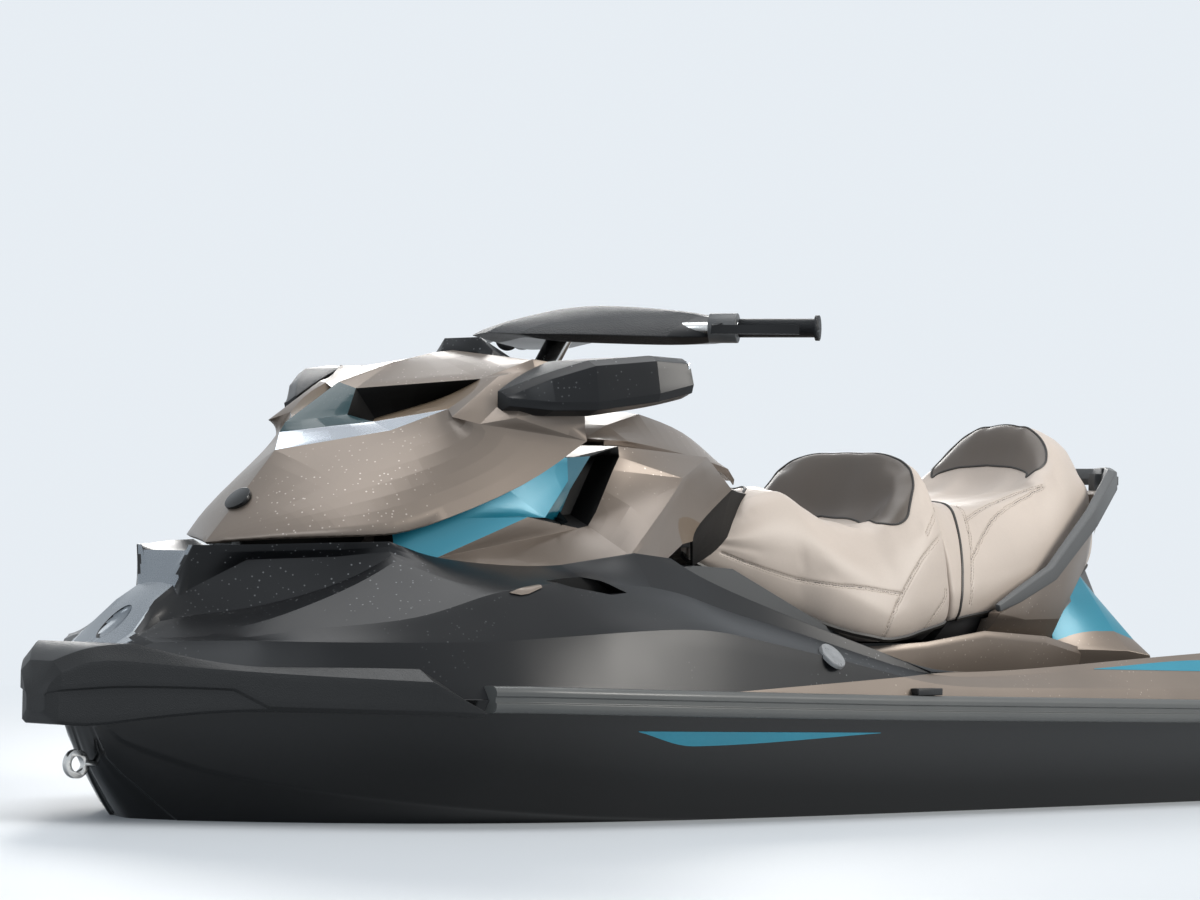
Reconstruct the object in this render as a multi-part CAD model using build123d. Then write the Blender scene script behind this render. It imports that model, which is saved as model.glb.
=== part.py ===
"""Three-seat personal watercraft, full size, in millimetres.

Axes: +X towards the bow, +Y to port, +Z up. The origin is on the centreline at the still
waterline, amidships. The craft is a V-bottom hull with a deck moulding bonded on top, a
front storage hood that carries the mirrors, a console with a glovebox, a two-piece seat,
and a water-jet drive with a steering nozzle and a reverse bucket under the stern platform.
"""
import math
import os

from build123d import *

# Driving dimensions
stern_x = -1690.0            # aft edge of the boarding platform
transom_x = -1500.0          # aft face of the hull
keel_depth = 270.0           # keel below the waterline
half_beam = 597.0            # bond line amidships
bow_rise = 211.0             # bond line height at the bow
seam_gap = 0.3               # between mouldings that lie on each other
move_gap = 6.0               # round lids and moving covers
hood_wall = 7.0
bin_wall = 4.0
rail_height = 44.0
rail_depth = 18.0
footwell_floor = 108.0
platform_z = 215.0           # top of the boarding platform
pedestal_half = 200.0        # half width of the seat pedestal
pedestal_top = 296.0

# Joint places
hood_hinge = (1254.0, 458.0)          # x, z
lid_hinge = (524.0, 648.0)            # x, z
steer_origin = (500.0, 0.0, 800.0)    # on the steering axis
steer_tilt = 35.0                     # the axis leans aft, degrees from vertical
pump_height = 120.0                   # impeller axis above the keel
pump_z = pump_height - keel_depth
nozzle_pivot_x = -1560.0
bucket_pivot_x = -1520.0
step_hinge = (-1672.0, 140.0)         # x, z

# Pins, tubes and grips, by radius
lid_pin_r = 4.0
hood_pin_r = 5.0
column_r = 22.0
column_tube_r = 32.0
switch_r = 27.0
grip_r = 17.0
nozzle_pin_r = 6.0
bucket_pin_r = 7.0
step_pin_r = 6.0
shaft_end_r = 10.0
blade_pitch = 38.0           # impeller blade to the shaft, degrees

os.makedirs("parts", exist_ok=True)


def save(shape, name):
    """Writes one sub-part."""
    export_step(shape, f"parts/{name}.step")
    print(name, len(shape.solids()), round(shape.volume / 1e6, 3), "litres")


def distinct(points):
    """The points of a closed outline without those that fall together."""
    return [p for i, p in enumerate(points) if (p - points[i - 1]).length > 1e-6]


def panels_between(ring, next_ring):
    """Flat panels between two rings of as many corners; a twisted one is folded on its short diagonal."""
    panels = []
    for i in range(len(ring)):
        corners = distinct([ring[i - 1], ring[i], next_ring[i], next_ring[i - 1]])
        if len(corners) < 4:
            panels.append(corners)
            continue
        a, b, c, d = corners
        normal = (b - a).cross(c - a)
        if normal.length > 1e-6 and abs(normal.normalized().dot(d - a)) < 1e-6:
            panels.append(corners)
        elif (c - a).length < (d - b).length + 1e-6:
            panels += [[a, b, c], [a, c, d]]
        else:
            panels += [[b, c, d], [b, d, a]]
    return [panel for panel in panels if len(panel) > 2]


def panelled(rings):
    """Closed solid of flat panels through flat rings of corners, with a flat panel at each end."""
    panels = [rings[0], rings[-1][::-1]]
    for ring, next_ring in zip(rings, rings[1:]):
        panels += panels_between(ring[::-1], next_ring[::-1])
    solid = Solid(Shell([Face(Wire.make_polygon(distinct(panel))) for panel in panels]))
    return solid if solid.volume > 0 else Solid(Shell([-face for face in solid.faces()]))


def skin(stations):
    """Solid through symmetrical stations [(x, port half section)], low centre point first."""
    return panelled([[Vector(x, y, z) for y, z in half] + [Vector(x, -y, z) for y, z in half[::-1] if y > 0]
                     for x, half in stations])


def side_loft(stations):
    """Solid through one-sided stations [(x, [(y, z), ...])]."""
    return panelled([[Vector(x, y, z) for y, z in outline] for x, outline in stations])


def cross_loft(slices):
    """Solid through side outlines [(y, [(x, z), ...])]."""
    return panelled([[Vector(x, y, z) for x, z in outline] for y, outline in slices])


def prism(outline, y_low, y_high):
    """Side outline in (x, z), extruded across from y_low to y_high."""
    wire = Wire.make_polygon([Vector(x, y_low, z) for x, z in outline])
    return Solid.extrude(Face(wire), Vector(0, y_high - y_low, 0))


def plate(outline, z_low, z_high):
    """Plan outline in (x, y), extruded up from z_low to z_high."""
    wire = Wire.make_polygon([Vector(x, y, z_low) for x, y in outline])
    return Solid.extrude(Face(wire), Vector(0, 0, z_high - z_low))


def block(x, y, z):
    """Box from three (low, high) pairs."""
    size = [high - low for low, high in (x, y, z)]
    centre = [(low + high) / 2 for low, high in (x, y, z)]
    return Pos(*centre) * Box(*size)


def rod(start, end, radius):
    """Round bar between two points."""
    a, b = Vector(*start), Vector(*end)
    return Solid.make_cylinder(radius, (b - a).length, Plane(origin=a, z_dir=b - a))


def starboard(shape):
    """The mirror image on the other side."""
    return mirror(shape, about=Plane.XZ)


def pair(shape):
    """The port piece and its starboard mirror image."""
    return Compound(children=[shape, starboard(shape)])


# Bond line in the side view: x, z
bond_line = [(1700, bow_rise), (1050, bow_rise), (200, 192), (-1800, 158)]


def bond_z(x):
    for (x1, z1), (x2, z2) in zip(bond_line, bond_line[1:]):
        if x2 <= x <= x1:
            return z1 + (z2 - z1) * (x1 - x) / (x1 - x2)
    raise ValueError(f"x {x} is off the bond line")


# Hull: x, keel z, strake y, strake z, chine y, chine z, bond y
hull_lines = [
    (1550, 152, 26, 154, 48, 160, 62),
    (1524, 92, 30, 104, 66, 132, 100),
    (1480, 30, 52, 60, 104, 108, 166),
    (1400, -55, 88, -10, 180, 76, 270),
    (1250, -145, 135, -85, 305, 46, 420),
    (1050, -205, 170, -125, 405, 22, 530),
    (700, -252, 200, -155, 478, 0, 586),
    (200, -keel_depth, 215, -168, 505, -15, half_beam),
    (-400, -keel_depth, 220, -170, 512, -22, half_beam),
    (-1000, -keel_depth, 220, -170, 512, -25, 592),
    (transom_x, -keel_depth, 220, -170, 505, -25, 572),
]
strake_step = 9.0
bay_x, bay_y, bay_floor = (-650.0, -80.0), 175.0, -140.0
tunnel_half = 115.0
tunnel_front = -1020.0


def hull_body(grow=0.0):
    """Whole hull up to the bond line, without its openings."""
    stations = []
    for x, keel, sy, sz, cy, cz, by in hull_lines:
        step = min(strake_step, sy * 0.2)
        half = [(0, keel - grow), (sy + grow, sz - grow), (sy + step + grow, sz - step * 0.5 - grow),
                (cy + grow, cz - grow), (cy + step + grow, cz + step * 0.6), (by + grow, bond_z(x)),
                (by + grow, 260)]
        stations.append((x + (grow if x == hull_lines[0][0] else 0), half))
    top = [(x, z - seam_gap / 2 + grow) for x, z in bond_line]
    over = prism(top + [(-1800, 900), (1700, 900)], -900, 900)
    return skin(stations) - over


def make_hull():
    bay = block(bay_x, (-bay_y, bay_y), (bay_floor, 400))
    arch = rod((tunnel_front, 0, pump_z), (transom_x - 50, 0, pump_z), tunnel_half)
    mouth = block((transom_x - 50, tunnel_front), (-tunnel_half, tunnel_half), (-400, pump_z))
    ramp = prism([(tunnel_front - 1, pump_z + 60), (tunnel_front - 1, -400), (tunnel_front + 380, -400)],
                 -tunnel_half + 25, tunnel_half - 25)
    tub = well_tub(seam_gap)
    return hull_body() - bay - arch - mouth - ramp - store_hole() - tub - starboard(tub)


# Deck: x, bond y, side crease y z, wall foot y z, gunwale edge y z, inner edge y z,
# pedestal y z, centre z
deck_lines = [
    (1545, 74, 70, 262, 64, 274, 52, 280, 30, 281, 10, 281, 281),
    (1500, 148, 136, 264, 76, 306, 64, 312, 32, 314, 12, 315, 315),
    (1445, 220, 200, 268, 60, 350, 50, 362, 30, 364, 12, 365, 365),
    (1402, 268, 246, 272, 66, 372, 46, 388, 30, 390, 14, 392, 392),
    (1384, 284, 260, 274, 84, 380, 75, 455, 62, 455, 58, 446, 446),
    (1300, 374, 330, 284, 142, 346, 140, 458, 124, 446, 60, 446, 446),
    (1184, 468, 412, 295, 228, 346, 228, 464, 208, 446, 90, 446, 446),
    (1110, 506, 450, 300, 264, 352, 256, 467, 238, 446, 120, 446, 446),
    (1057, 528, 474, 304, 287, 356, 270, 450, 250, 434, 130, 440, 444),
    (1016, 540, 488, 308, 307, 362, 286, 438, 268, 422, 140, 436, 440),
    (880, 568, 524, 316, 347, 372, 334, 428, 314, 412, 160, 430, 432),
    (830, 574, 534, 322, 388, 378, 380, 433, 350, 416, 170, 428, 430),
    (680, 588, 552, 330, 428, 385, 408, 456, 384, 440, 180, 430, 430),
    (600, 591, 560, 322, 438, 380, 420, 448, 394, 434, 190, 430, 430),
    (540, 592, 564, 312, 456, 356, 440, 411, 412, 398, 195, 430, 430),
    (360, 595, 574, 282, 508, 318, 500, 344, 470, 334, pedestal_half, 440, 440),
    (210, 597, 580, 254, 552, 276, 546, 295, 512, 287, pedestal_half, 432, 432),
    (80, 597, 586, 228, 576, 244, 572, 254, 528, 250, pedestal_half, 380, 380),
    (-130, half_beam, 586, 224, 562, 242, 556, 252, 520, 244, pedestal_half, pedestal_top, pedestal_top),
    (-500, half_beam, 584, 222, 558, 262, 548, 274, 508, 262, pedestal_half, pedestal_top, pedestal_top),
    (-860, 595, 580, 218, 548, 280, 540, 292, 500, 276, pedestal_half, pedestal_top, pedestal_top),
    (-960, 594, 578, 217, 544, 281, 536, 293, 496, 276, 420, platform_z, platform_z),
    (-1200, 586, 572, 214, 532, 275, 524, 286, 488, 262, 420, platform_z, platform_z),
    (-1450, 574, 560, 210, 520, 250, 512, 262, 478, 236, 410, platform_z, platform_z),
    (-1600, 548, 534, 206, 494, 220, 486, 226, 460, 218, 400, platform_z, platform_z),
    (stern_x, 470, 458, 196, 436, 204, 430, 208, 410, 213, 380, platform_z, platform_z),
]

# Footwell: x, inner y, outer floor y, floor z, outer top y
footwell_lines = [
    (500, 300, 350, 380, 404),
    (430, 250, 402, 190, 440),
    (320, pedestal_half, 440, footwell_floor + 12, 470),
    (60, pedestal_half, 490, footwell_floor, 526),
    (-400, pedestal_half, 486, footwell_floor, 520),
    (-760, pedestal_half, 470, footwell_floor + 15, 500),
    (-960, pedestal_half + 20, 462, platform_z + 1, 494),
]

# Front storage opening through the deck
store_x, store_y, store_floor = (760.0, 1190.0), 165.0, 130.0
hinge_floor = 424.0


def well_tub(grow=0.0):
    """Outside of the port footwell moulding, where it hangs below the bond line."""
    wall = 6 + grow
    return side_loft([(x, [(yi - wall, floor - wall), (yo + wall, floor - wall), (yo + 14 + grow, 215),
                           (yi - wall, 215)]) for x, yi, yo, floor, yt in footwell_lines if -800 < x < 440])


def store_hole():
    """Opening for the front storage tub, a seam gap larger than the tub."""
    return block((store_x[0] - seam_gap, store_x[1] + seam_gap), (-store_y - seam_gap, store_y + seam_gap),
                 (store_floor - seam_gap, 900))


def deck_body(grow=0.0):
    """Whole deck from the bond line up, without its openings."""
    stations = []
    for x, by, cy, cz, wy, wz, ey, ez, iy, iz, py, pz, mid in deck_lines:
        half = [(0, 100), (by + grow, 100), (by + grow, bond_z(x)), (cy + grow, cz + grow),
                (wy + grow, wz + grow),
                (ey + grow, ez + grow), (iy, iz + grow), (py + grow, pz + grow), (0, mid + grow)]
        end = grow if x == deck_lines[0][0] else (-grow if x == stern_x else 0)
        stations.append((x + end, half))
    low = [(x, z + seam_gap / 2 - grow) for x, z in bond_line]
    under = prism(low + [(-1800, -100), (1700, -100)], -900, 900)
    return skin(stations) - under


def make_deck():
    slices = [(x, [(yi, floor), (yo, floor), (yt, 700), (yi, 700)])
              for x, yi, yo, floor, yt in footwell_lines]
    well = side_loft(slices)
    hinge_well = plate([(1350, -56), (1350, 56), (1232, 92), (1232, -92)], hinge_floor, 500)
    tub = well_tub()
    bay = block(bay_x, (-bay_y, bay_y), (100, 500))
    body = deck_body() + tub + starboard(tub)
    return body - well - starboard(well) - hinge_well - bay - store_hole()


def make_rub_rail():
    slices = []
    for x, by, *_ in [row for row in deck_lines if 1112 >= row[0] > stern_x]:
        low, high = bond_z(x) - rail_height / 2, bond_z(x) + rail_height / 2
        slices.append((x, [(by - 14, low), (by + rail_depth - 6, low), (by + rail_depth, low + 9),
                           (by + rail_depth, high - 9), (by + rail_depth - 6, high), (by - 14, high)]))
    strip = side_loft(slices) - hull_body(seam_gap) - deck_body(seam_gap)
    return pair(max(strip.solids(), key=lambda s: s.volume))


# Bow bumper: x, outer y, low z, step z, high z
bumper_lines = [
    (1640, 40, 170, 206, 262),
    (1628, 66, 160, 210, 278),
    (1598, 98, 154, 212, 290),
    (1545, 148, 153, 213, 296),
    (1490, 205, 156, 214, 286),
    (1400, 294, 164, 216, 266),
    (1300, 392, 174, 214, 256),
    (1190, 484, 180, 210, 250),
    (1116, 525, 184, 206, 247),
]
bumper_step = 5.0


def make_bow_bumper():
    stations = [(x, [(0, low), (y - 14, low), (y - bumper_step, low + 9), (y - bumper_step, step), (y, step + 5),
                     (y - 2, high - 18), (y - 14, high), (0, high)])
                for x, y, low, step, high in bumper_lines]
    wrap = skin(stations) - hull_body(seam_gap) - deck_body(seam_gap)
    return max(wrap.solids(), key=lambda s: s.volume)


# Console: x, foot y z, knuckle y z, shoulder y z, centre z
console_lines = [
    (1030, 262, 400, 270, 443, 236, 454, 458),
    (886, 312, 400, 324, 476, 296, 540, 546),
    (820, 350, 400, 338, 512, 306, 568, 576),
    (740, 378, 400, 362, 486, 302, 596, 606),
    (680, 396, 400, 392, 462, 298, 618, 630),
    (628, 392, 400, 380, 458, 268, 634, 644),
    (540, 340, 400, 330, 510, 244, 634, 648),
    (436, 286, 400, 262, 570, 216, 616, 648),
    (324, 206, 436, 214, 520, 172, 606, 636),
    (210, 156, 464, 166, 540, 134, 596, 614),
    (110, 108, 510, 120, 548, 94, 592, 600),
    (20, 60, 564, 70, 572, 50, 584, 588),
]
# Side recess behind the cowl panel: x, z
recess_outline = [(652, 626), (592, 642), (570, 628), (650, 502), (668, 497), (765, 508)]
recess_depth_y = 190.0


def console_body(grow=0.0):
    stations = [(x, [(0, fz - grow), (fy + grow, fz - grow), (ky + grow, kz), (sy + grow, sz + grow),
                     (0, mid + grow)])
                for x, fy, fz, ky, kz, sy, sz, mid in console_lines]
    return skin(stations)


glove_x, glove_y, glove_floor, glove_rim = (240.0, 506.0), 120.0, 470.0, 606.0

# Glovebox lid: x, edge y z, shoulder y z, centre z
lid_lines = [
    (540, 190, 648, 140, 660, 664),
    (490, 200, 646, 146, 686, 692),
    (400, 192, 638, 138, 708, 720),
    (250, 158, 622, 110, 684, 700),
    (121, 98, 612, 68, 640, 654),
    (52, 50, 606, 34, 618, 624),
]
lid_wall = 5.0
lid_groove = 630.0


def lid_body(inset=0.0, drop=0.0):
    stations = [(x + (-inset if i == 0 else (inset if i == len(lid_lines) - 1 else 0)),
                 [(0, ez - drop), (ey - inset, ez - drop), (ey - inset, ez), (sy - inset, sz - inset),
                  (0, mid - inset)])
                for i, (x, ey, ez, sy, sz, mid) in enumerate(lid_lines)]
    return skin(stations)


def make_console():
    glove = block((glove_x[0] - seam_gap, glove_x[1] + seam_gap), (-glove_y - seam_gap, glove_y + seam_gap),
                  (glove_floor - seam_gap, 900))
    over_lid = prism([(556, 632), (556, 900), (-60, 900), (20, 574), (52, 594), (250, 612), (400, 628)],
                     -260, 260)
    front = block((store_x[0], 1300), (-store_y - seam_gap, store_y + seam_gap), (100, 900))
    groove = block((lid_hinge[0] - 12, lid_hinge[0] + 12), (-80, 80), (lid_groove, 700))
    recess = prism(recess_outline, recess_depth_y, 500)
    body = console_body() - deck_body(seam_gap) - front - store_hole() - glove - over_lid - groove
    return body - recess - starboard(recess)


def make_cowl_panels():
    """Coloured skins over the console sides, from under the hood rim back to the recess."""
    rows = [row for row in console_lines if row[0] > 600]
    skin_panel = side_loft([(x, [(ky - 6, kz + 3), (ky + 3, kz + 3), (sy + 3, sz - 3), (sy - 6, sz - 3)])
                            for x, _, _, ky, kz, sy, sz, _ in rows])
    behind = block((0, 655), (0, 500), (0, 900))
    skin_panel = skin_panel - console_body(seam_gap) - prism(recess_outline, 100, 500) - behind
    return pair(max(skin_panel.solids(), key=lambda s: s.volume))


def make_glovebox_lid():
    shell = lid_body() - lid_body(lid_wall, 30)
    x, z = lid_hinge
    web = block((x - 4, x + 4), (-60, 60), (z, z + 60)) & lid_body(2, 40)
    sleeve = rod((x, -60, z), (x, 60, z), lid_pin_r + 4) + web
    return shell + sleeve - rod((x, -80, z), (x, 80, z), lid_pin_r + seam_gap)


def make_lid_hinge():
    x, z = lid_hinge
    lugs = rod((x, -74, z), (x, 74, z), lid_pin_r)
    for side in (-1, 1):
        lugs += block((x - 6, x + 6), sorted((side * 64, side * 74)), (lid_groove + seam_gap, z))
        lugs += rod((x, side * 64, z), (x, side * 74, z), lid_pin_r + 3)
    return lugs


def tub(x, y, floor, rim, wall):
    """Open box with walls standing inside the given outside faces."""
    outer = block(x, (-y, y), (floor, rim))
    inner = block((x[0] + wall, x[1] - wall), (-y + wall, y - wall), (floor + wall, rim + 10))
    return outer - inner


# Hood: x, rim y z, side crease y z, shoulder y z, centre z
hood_lines = [
    (1297, 8, 463, 6, 466, 4, 469, 470),
    (1240, 98, 470, 74, 492, 34, 512, 521),
    (1184, 195, 475, 152, 520, 62, 560, 577),
    (1141, 224, 478, 184, 546, 62, 606, 619),
    (1100, 246, 480, 208, 566, 42, 644, 686),
    (1046, 268, 483, 236, 594, 90, 656, 714),
    (993, 287, 500, 264, 622, 138, 674, 738),
    (930, 305, 538, 288, 650, 192, 706, 776),
    (880, 317, 556, 302, 666, 232, 736, 789),
    (820, 330, 581, 318, 684, 258, 758, 803),
    (770, 338, 620, 328, 702, 262, 774, 811),
    (735, 342, 650, 334, 718, 256, 782, 814),
]


def hood_body(inset=0.0, drop=0.0):
    """Hood volume, pulled in by the inset on top and sides and open below by the drop."""
    stations = []
    last = len(hood_lines) - 1
    for i, (x, ry, rz, cy, cz, sy, sz, mid) in enumerate(hood_lines):
        x -= inset if i == 0 else (drop if i == last else 0)
        narrow = min(inset, ry * 0.6)
        half = [(0, rz - drop), (ry - narrow, rz - drop), (cy - narrow, cz), (sy - narrow * 0.8, sz - inset),
                (0, mid - inset)]
        stations.append((x, half))
    return skin(stations)


scoop_cut = [(1088, 668), (1052, 700), (985, 727), (862, 752), (862, 728), (930, 712), (1003, 684)]


def make_hood():
    shell = hood_body() - hood_body(hood_wall, 30)
    scoop = prism(scoop_cut, 22, 205)
    x, z = hood_hinge
    web = block((x - 8, x + 6), (-18, 18), (z, z + 80)) & hood_body(2, 40)
    sleeve = rod((x, -18, z), (x, 18, z), hood_pin_r + 4) + web
    sleeve = sleeve - rod((x, -30, z), (x, 30, z), hood_pin_r + seam_gap)
    return shell - scoop - starboard(scoop) + sleeve


def make_hood_hinge():
    x, z = hood_hinge
    lugs = rod((x, -30, z), (x, 30, z), hood_pin_r)
    for side in (-1, 1):
        lugs += block((x - 9, x + 9), sorted((side * 20, side * 30)), (hinge_floor + seam_gap, z))
        lugs += rod((x, side * 20, z), (x, side * 30, z), hood_pin_r + 4)
    return lugs


def make_hood_scoop():
    tray = hood_body(hood_wall + seam_gap, 0) & block((806, 1100), (-222, 222), (640, 830))
    tray = tray - block((812, 1092), (-210, 210), (646, 830))
    return max(tray.solids(), key=lambda s: s.volume)


nose_x, nose_z = 1226.0, 535.0
nose_radius = 25.0


def make_nose_cap():
    """Plain domed cap on the ridge of the hood's nose."""
    normal = Vector(1, 0, 1).normalized()
    seat = Vector(nose_x, 0, nose_z)
    cap = Solid.make_cylinder(nose_radius, 24, Plane(origin=seat - normal * 20, z_dir=normal))
    return max((cap - hood_body(-seam_gap)).solids(), key=lambda s: s.volume)


def make_hood_trim():
    rows = [(x, sy, sz) for x, _, _, _, _, sy, sz, _ in hood_lines if 870 <= x <= 1110]
    strip = side_loft([(x, [(y - 8, z - 8), (y + 7, z - 8), (y + 7, z + 4), (y - 8, z + 6)])
                       for x, y, z in rows])
    strip = strip - hood_body(-seam_gap)
    return pair(max(strip.solids(), key=lambda s: s.volume))


# Mirror: x, inner y, outer y, low z, high z
glass_x = 588.0
mirror_lines = [
    (872, 262, 296, 692, 730),
    (820, 262, 352, 686, 762),
    (760, 270, 398, 688, 786),
    (660, 304, 446, 706, 798),
    (glass_x, 330, 456, 724, 796),
]


def make_mirror_housing():
    shell = side_loft([(x, [(yi, zl), (yo - 14, zl), (yo, zl + 14), (yo, zh - 20), (yo - 24, zh), (yi, zh)])
                       for x, yi, yo, zl, zh in mirror_lines])
    pocket = block((glass_x - 1, glass_x + 5), (338, 448), (732, 788))
    return pair(max((shell - hood_body(-seam_gap) - pocket).solids(), key=lambda s: s.volume))


def make_mirror_glass():
    return pair(block((glass_x + 1.7, glass_x + 4.7), (338.3, 447.7), (732.3, 787.7)))


# Steering
lean = math.radians(steer_tilt)
steer_axis = Vector(-math.sin(lean), 0, math.cos(lean))


def on_axis(s):
    """Point on the steering axis, s millimetres above its origin."""
    return Vector(*steer_origin) + steer_axis * s


bar_radius = 11.0
bar_path = [(452, 0, 866), (360, 176, 866), (214, 404, 868)]


def make_steering_column():
    bore = rod(on_axis(-165 - seam_gap), on_axis(0), column_r + seam_gap)
    tube = rod(on_axis(-196), on_axis(-50), column_tube_r) - bore
    foot = block((566, 672), (-70, 70), (600, 700)) - bore
    return (tube + foot) - console_body(seam_gap)


def bar_run(radius):
    run = rod(bar_path[0], bar_path[1], radius) + rod(bar_path[1], bar_path[2], radius)
    run += Pos(*bar_path[1]) * Sphere(radius)
    return run + starboard(run)


def make_handlebar():
    return rod(on_axis(-165), on_axis(84), column_r) + bar_run(bar_radius)


# Pad over the bar: y, then side outline
pad_slices = [
    (0, [(606, 843), (652, 846), (600, 872), (520, 889), (400, 915), (320, 913), (334, 850)]),
    (62, [(560, 832), (630, 844), (584, 868), (500, 887), (392, 912), (302, 910), (322, 846)]),
    (136, [(452, 832), (500, 848), (470, 866), (420, 884), (350, 906), (268, 904), (290, 842)]),
    (204, [(336, 832), (384, 848), (372, 860), (350, 876), (300, 892), (240, 890), (262, 838)]),
    (242, [(292, 844), (320, 852), (316, 860), (302, 870), (276, 882), (242, 880), (252, 850)]),
]


def make_bar_pad():
    half = cross_loft(pad_slices)
    pad = half + starboard(half)
    switch_room = rod(toward_end(0.22), toward_end(0.5), switch_r + seam_gap)
    pad = pad - bar_run(bar_radius + seam_gap) - switch_room - starboard(switch_room)
    return pad - rod(on_axis(-60), on_axis(84 + seam_gap), column_r + seam_gap)


def toward_end(t):
    """Point on the outer run of the bar, t from 0 at the bend to 1 at the end."""
    a, b = Vector(*bar_path[1]), Vector(*bar_path[2])
    return a + (b - a) * t


def make_grip():
    body = rod(toward_end(0.47), toward_end(0.985), grip_r)
    body += rod(toward_end(0.985), toward_end(1.01), grip_r + 6)
    return body - rod(toward_end(0.2), toward_end(1.0), bar_radius + seam_gap)


def make_switch():
    body = rod(toward_end(0.27), toward_end(0.46), switch_r)
    return body - rod(toward_end(0), toward_end(1), bar_radius + seam_gap)


def make_lever():
    """Flat blade lever ahead of the grip, on a lug at the switch housing."""
    root, tip = toward_end(0.36), toward_end(0.92) + Vector(44, 24, -6)
    knee = root + Vector(58, 30, -6)
    blade = flat_bar([tuple(root + Vector(22, 12, 0)), tuple(knee), tuple(tip)], 5, 8)
    return blade - rod(toward_end(0.2), toward_end(0.5), switch_r + seam_gap)


def make_gauge_pod():
    hood_part = cross_loft([(-74, [(590, 712), (700, 712), (716, 790), (706, 812), (600, 772)]),
                            (-46, [(586, 706), (706, 706), (720, 810), (712, 836), (596, 786)]),
                            (46, [(586, 706), (706, 706), (720, 810), (712, 836), (596, 786)]),
                            (74, [(590, 712), (700, 712), (716, 790), (706, 812), (600, 772)])])
    neck = block((612, 700), (-50, 50), (690, 720))
    tube_room = rod(on_axis(-260), on_axis(60), column_tube_r + seam_gap)
    return (hood_part + neck) - tube_room - block((500, 680), (-80, 80), (600, 700 + seam_gap))


# Seats: x, bottom y z, widest y z, top edge y z, centre z
driver_lines = [
    (228, 88, 452, 94, 466, 82, 478, 480),
    (120, 128, 400, 142, 450, 118, 520, 530),
    (0, 165, 350, 180, 420, 120, 566, 585),
    (-60, 210, 320, 222, 390, 140, 532, 548),
    (-170, 250, 299, 264, 350, 160, 508, 512),
    (-270, 252, 318, 268, 372, 165, 548, 556),
    (-318, 250, 328, 264, 384, 165, 622, 652),
    (-336, 246, 332, 258, 390, 160, 610, 640),
]
passenger_lines = [
    (-352, 240, 336, 252, 386, 176, 540, 578),
    (-460, 235, 350, 246, 404, 175, 548, 566),
    (-640, 218, 374, 230, 434, 165, 572, 588),
    (-780, 200, 410, 212, 484, 150, 644, 716),
    (-850, 182, 450, 190, 524, 130, 662, 724),
    (-904, 140, 500, 150, 560, 100, 640, 664),
]


def seat_body(rows, grow=0.0):
    last = len(rows) - 1
    stations = []
    for i, (x, by, bz, wy, wz, ty, tz, mid) in enumerate(rows):
        x += grow if i == 0 else (-grow if i == last else 0)
        half = [(0, bz - grow), (by + grow, bz - grow), (wy + grow, wz), (ty + grow, tz + grow), (0, mid + grow)]
        stations.append((x, half))
    return skin(stations)


def make_driver_seat():
    seat = seat_body(driver_lines) - deck_body(seam_gap) - console_body(seam_gap)
    return max(seat.solids(), key=lambda s: s.volume)


def make_passenger_seat():
    return seat_body(passenger_lines)


# Rear seat surround: x, foot y z, top y z, centre z
base_lines = [
    (-470, 262, 344, 270, 356, 356),
    (-560, 260, 344, 266, 388, 388),
    (-690, 240, 346, 252, 456, 456),
    (-800, 214, 450, 228, 536, 540),
    (-925, 150, 556, 172, 604, 606),
    (-985, 104, 566, 112, 590, 592),
]
pan_x = (-366.0, -676.0)


def lift_room(grow):
    """Space that the rear seat passes through as it lifts."""
    return skin([(x + (grow if i == 0 else (-grow if i == len(passenger_lines) - 1 else 0)),
                  [(0, bz - grow), (by + grow, bz - grow), (wy + grow, wz), (wy + grow, 900), (0, 900)])
                 for i, (x, by, bz, wy, wz, _, _, _) in enumerate(passenger_lines)])


def base_body(grow=0.0):
    last = len(base_lines) - 1
    stations = []
    for i, (x, fy, fz, ty, tz, mid) in enumerate(base_lines):
        low = min(fz, pedestal_top + seam_gap) if x > -700 else fz
        x += grow if i == 0 else (-grow if i == last else 0)
        inner = min(fy, pedestal_half + 12) + grow
        stations.append((x, [(0, low - grow), (inner, low - grow), (fy + grow, fz - grow), (ty + grow, tz + grow),
                             (0, mid + grow)]))
    return skin(stations)


def make_seat_base():
    body = base_body() - deck_body(seam_gap) - lift_room(move_gap)
    body = body - make_pan(passenger_lines, *pan_x, move_gap)
    body = body - block((-690, -300), (1.5 - pedestal_half, pedestal_half - 1.5), (200, 420))
    return max(body.solids(), key=lambda s: s.volume)


# Grab handle: centre line of the port half, front root first
handle_path = [(-458, 274, 366), (-640, 256, 436), (-785, 236, 546), (-925, 176, 628), (-1035, 72, 636)]
handle_half_width, handle_half_height = 11.0, 19.0


def flat_bar(path, half_width, half_height):
    """Flat bar with mitred corners through the points of a path."""
    points = [Vector(*point) for point in path]
    rings = []
    for i, point in enumerate(points):
        before = point - points[max(i - 1, 0)]
        after = points[min(i + 1, len(points) - 1)] - point
        along = (before.normalized() if before.length else after.normalized()) \
            + (after.normalized() if after.length else before.normalized())
        across = along.cross(Vector(0, 0, 1)).normalized() * half_width
        up = across.cross(along).normalized() * half_height
        rings.append([point - across - up, point + across - up, point + across + up, point - across + up])
    return panelled(rings)


def make_grab_handle():
    path = handle_path + [(x, -y, z) for x, y, z in handle_path[::-1]]
    post = block((-990, -962), (90, 106), (560, 640)) + block((-1040, -962), (90, 106), (618, 636))
    bar = flat_bar(path, handle_half_width, handle_half_height) + post + starboard(post)
    return bar - base_body(seam_gap)


# Pedestal flank: x, outer low y, outer top y z
flank_lines = [
    (-130, 206, 210, 288),
    (-300, 210, 236, 300),
    (-440, 214, 262, 322),
    (-630, 212, 258, 312),
    (-750, 208, 248, 290),
]
flank_foot = 132.0


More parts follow.
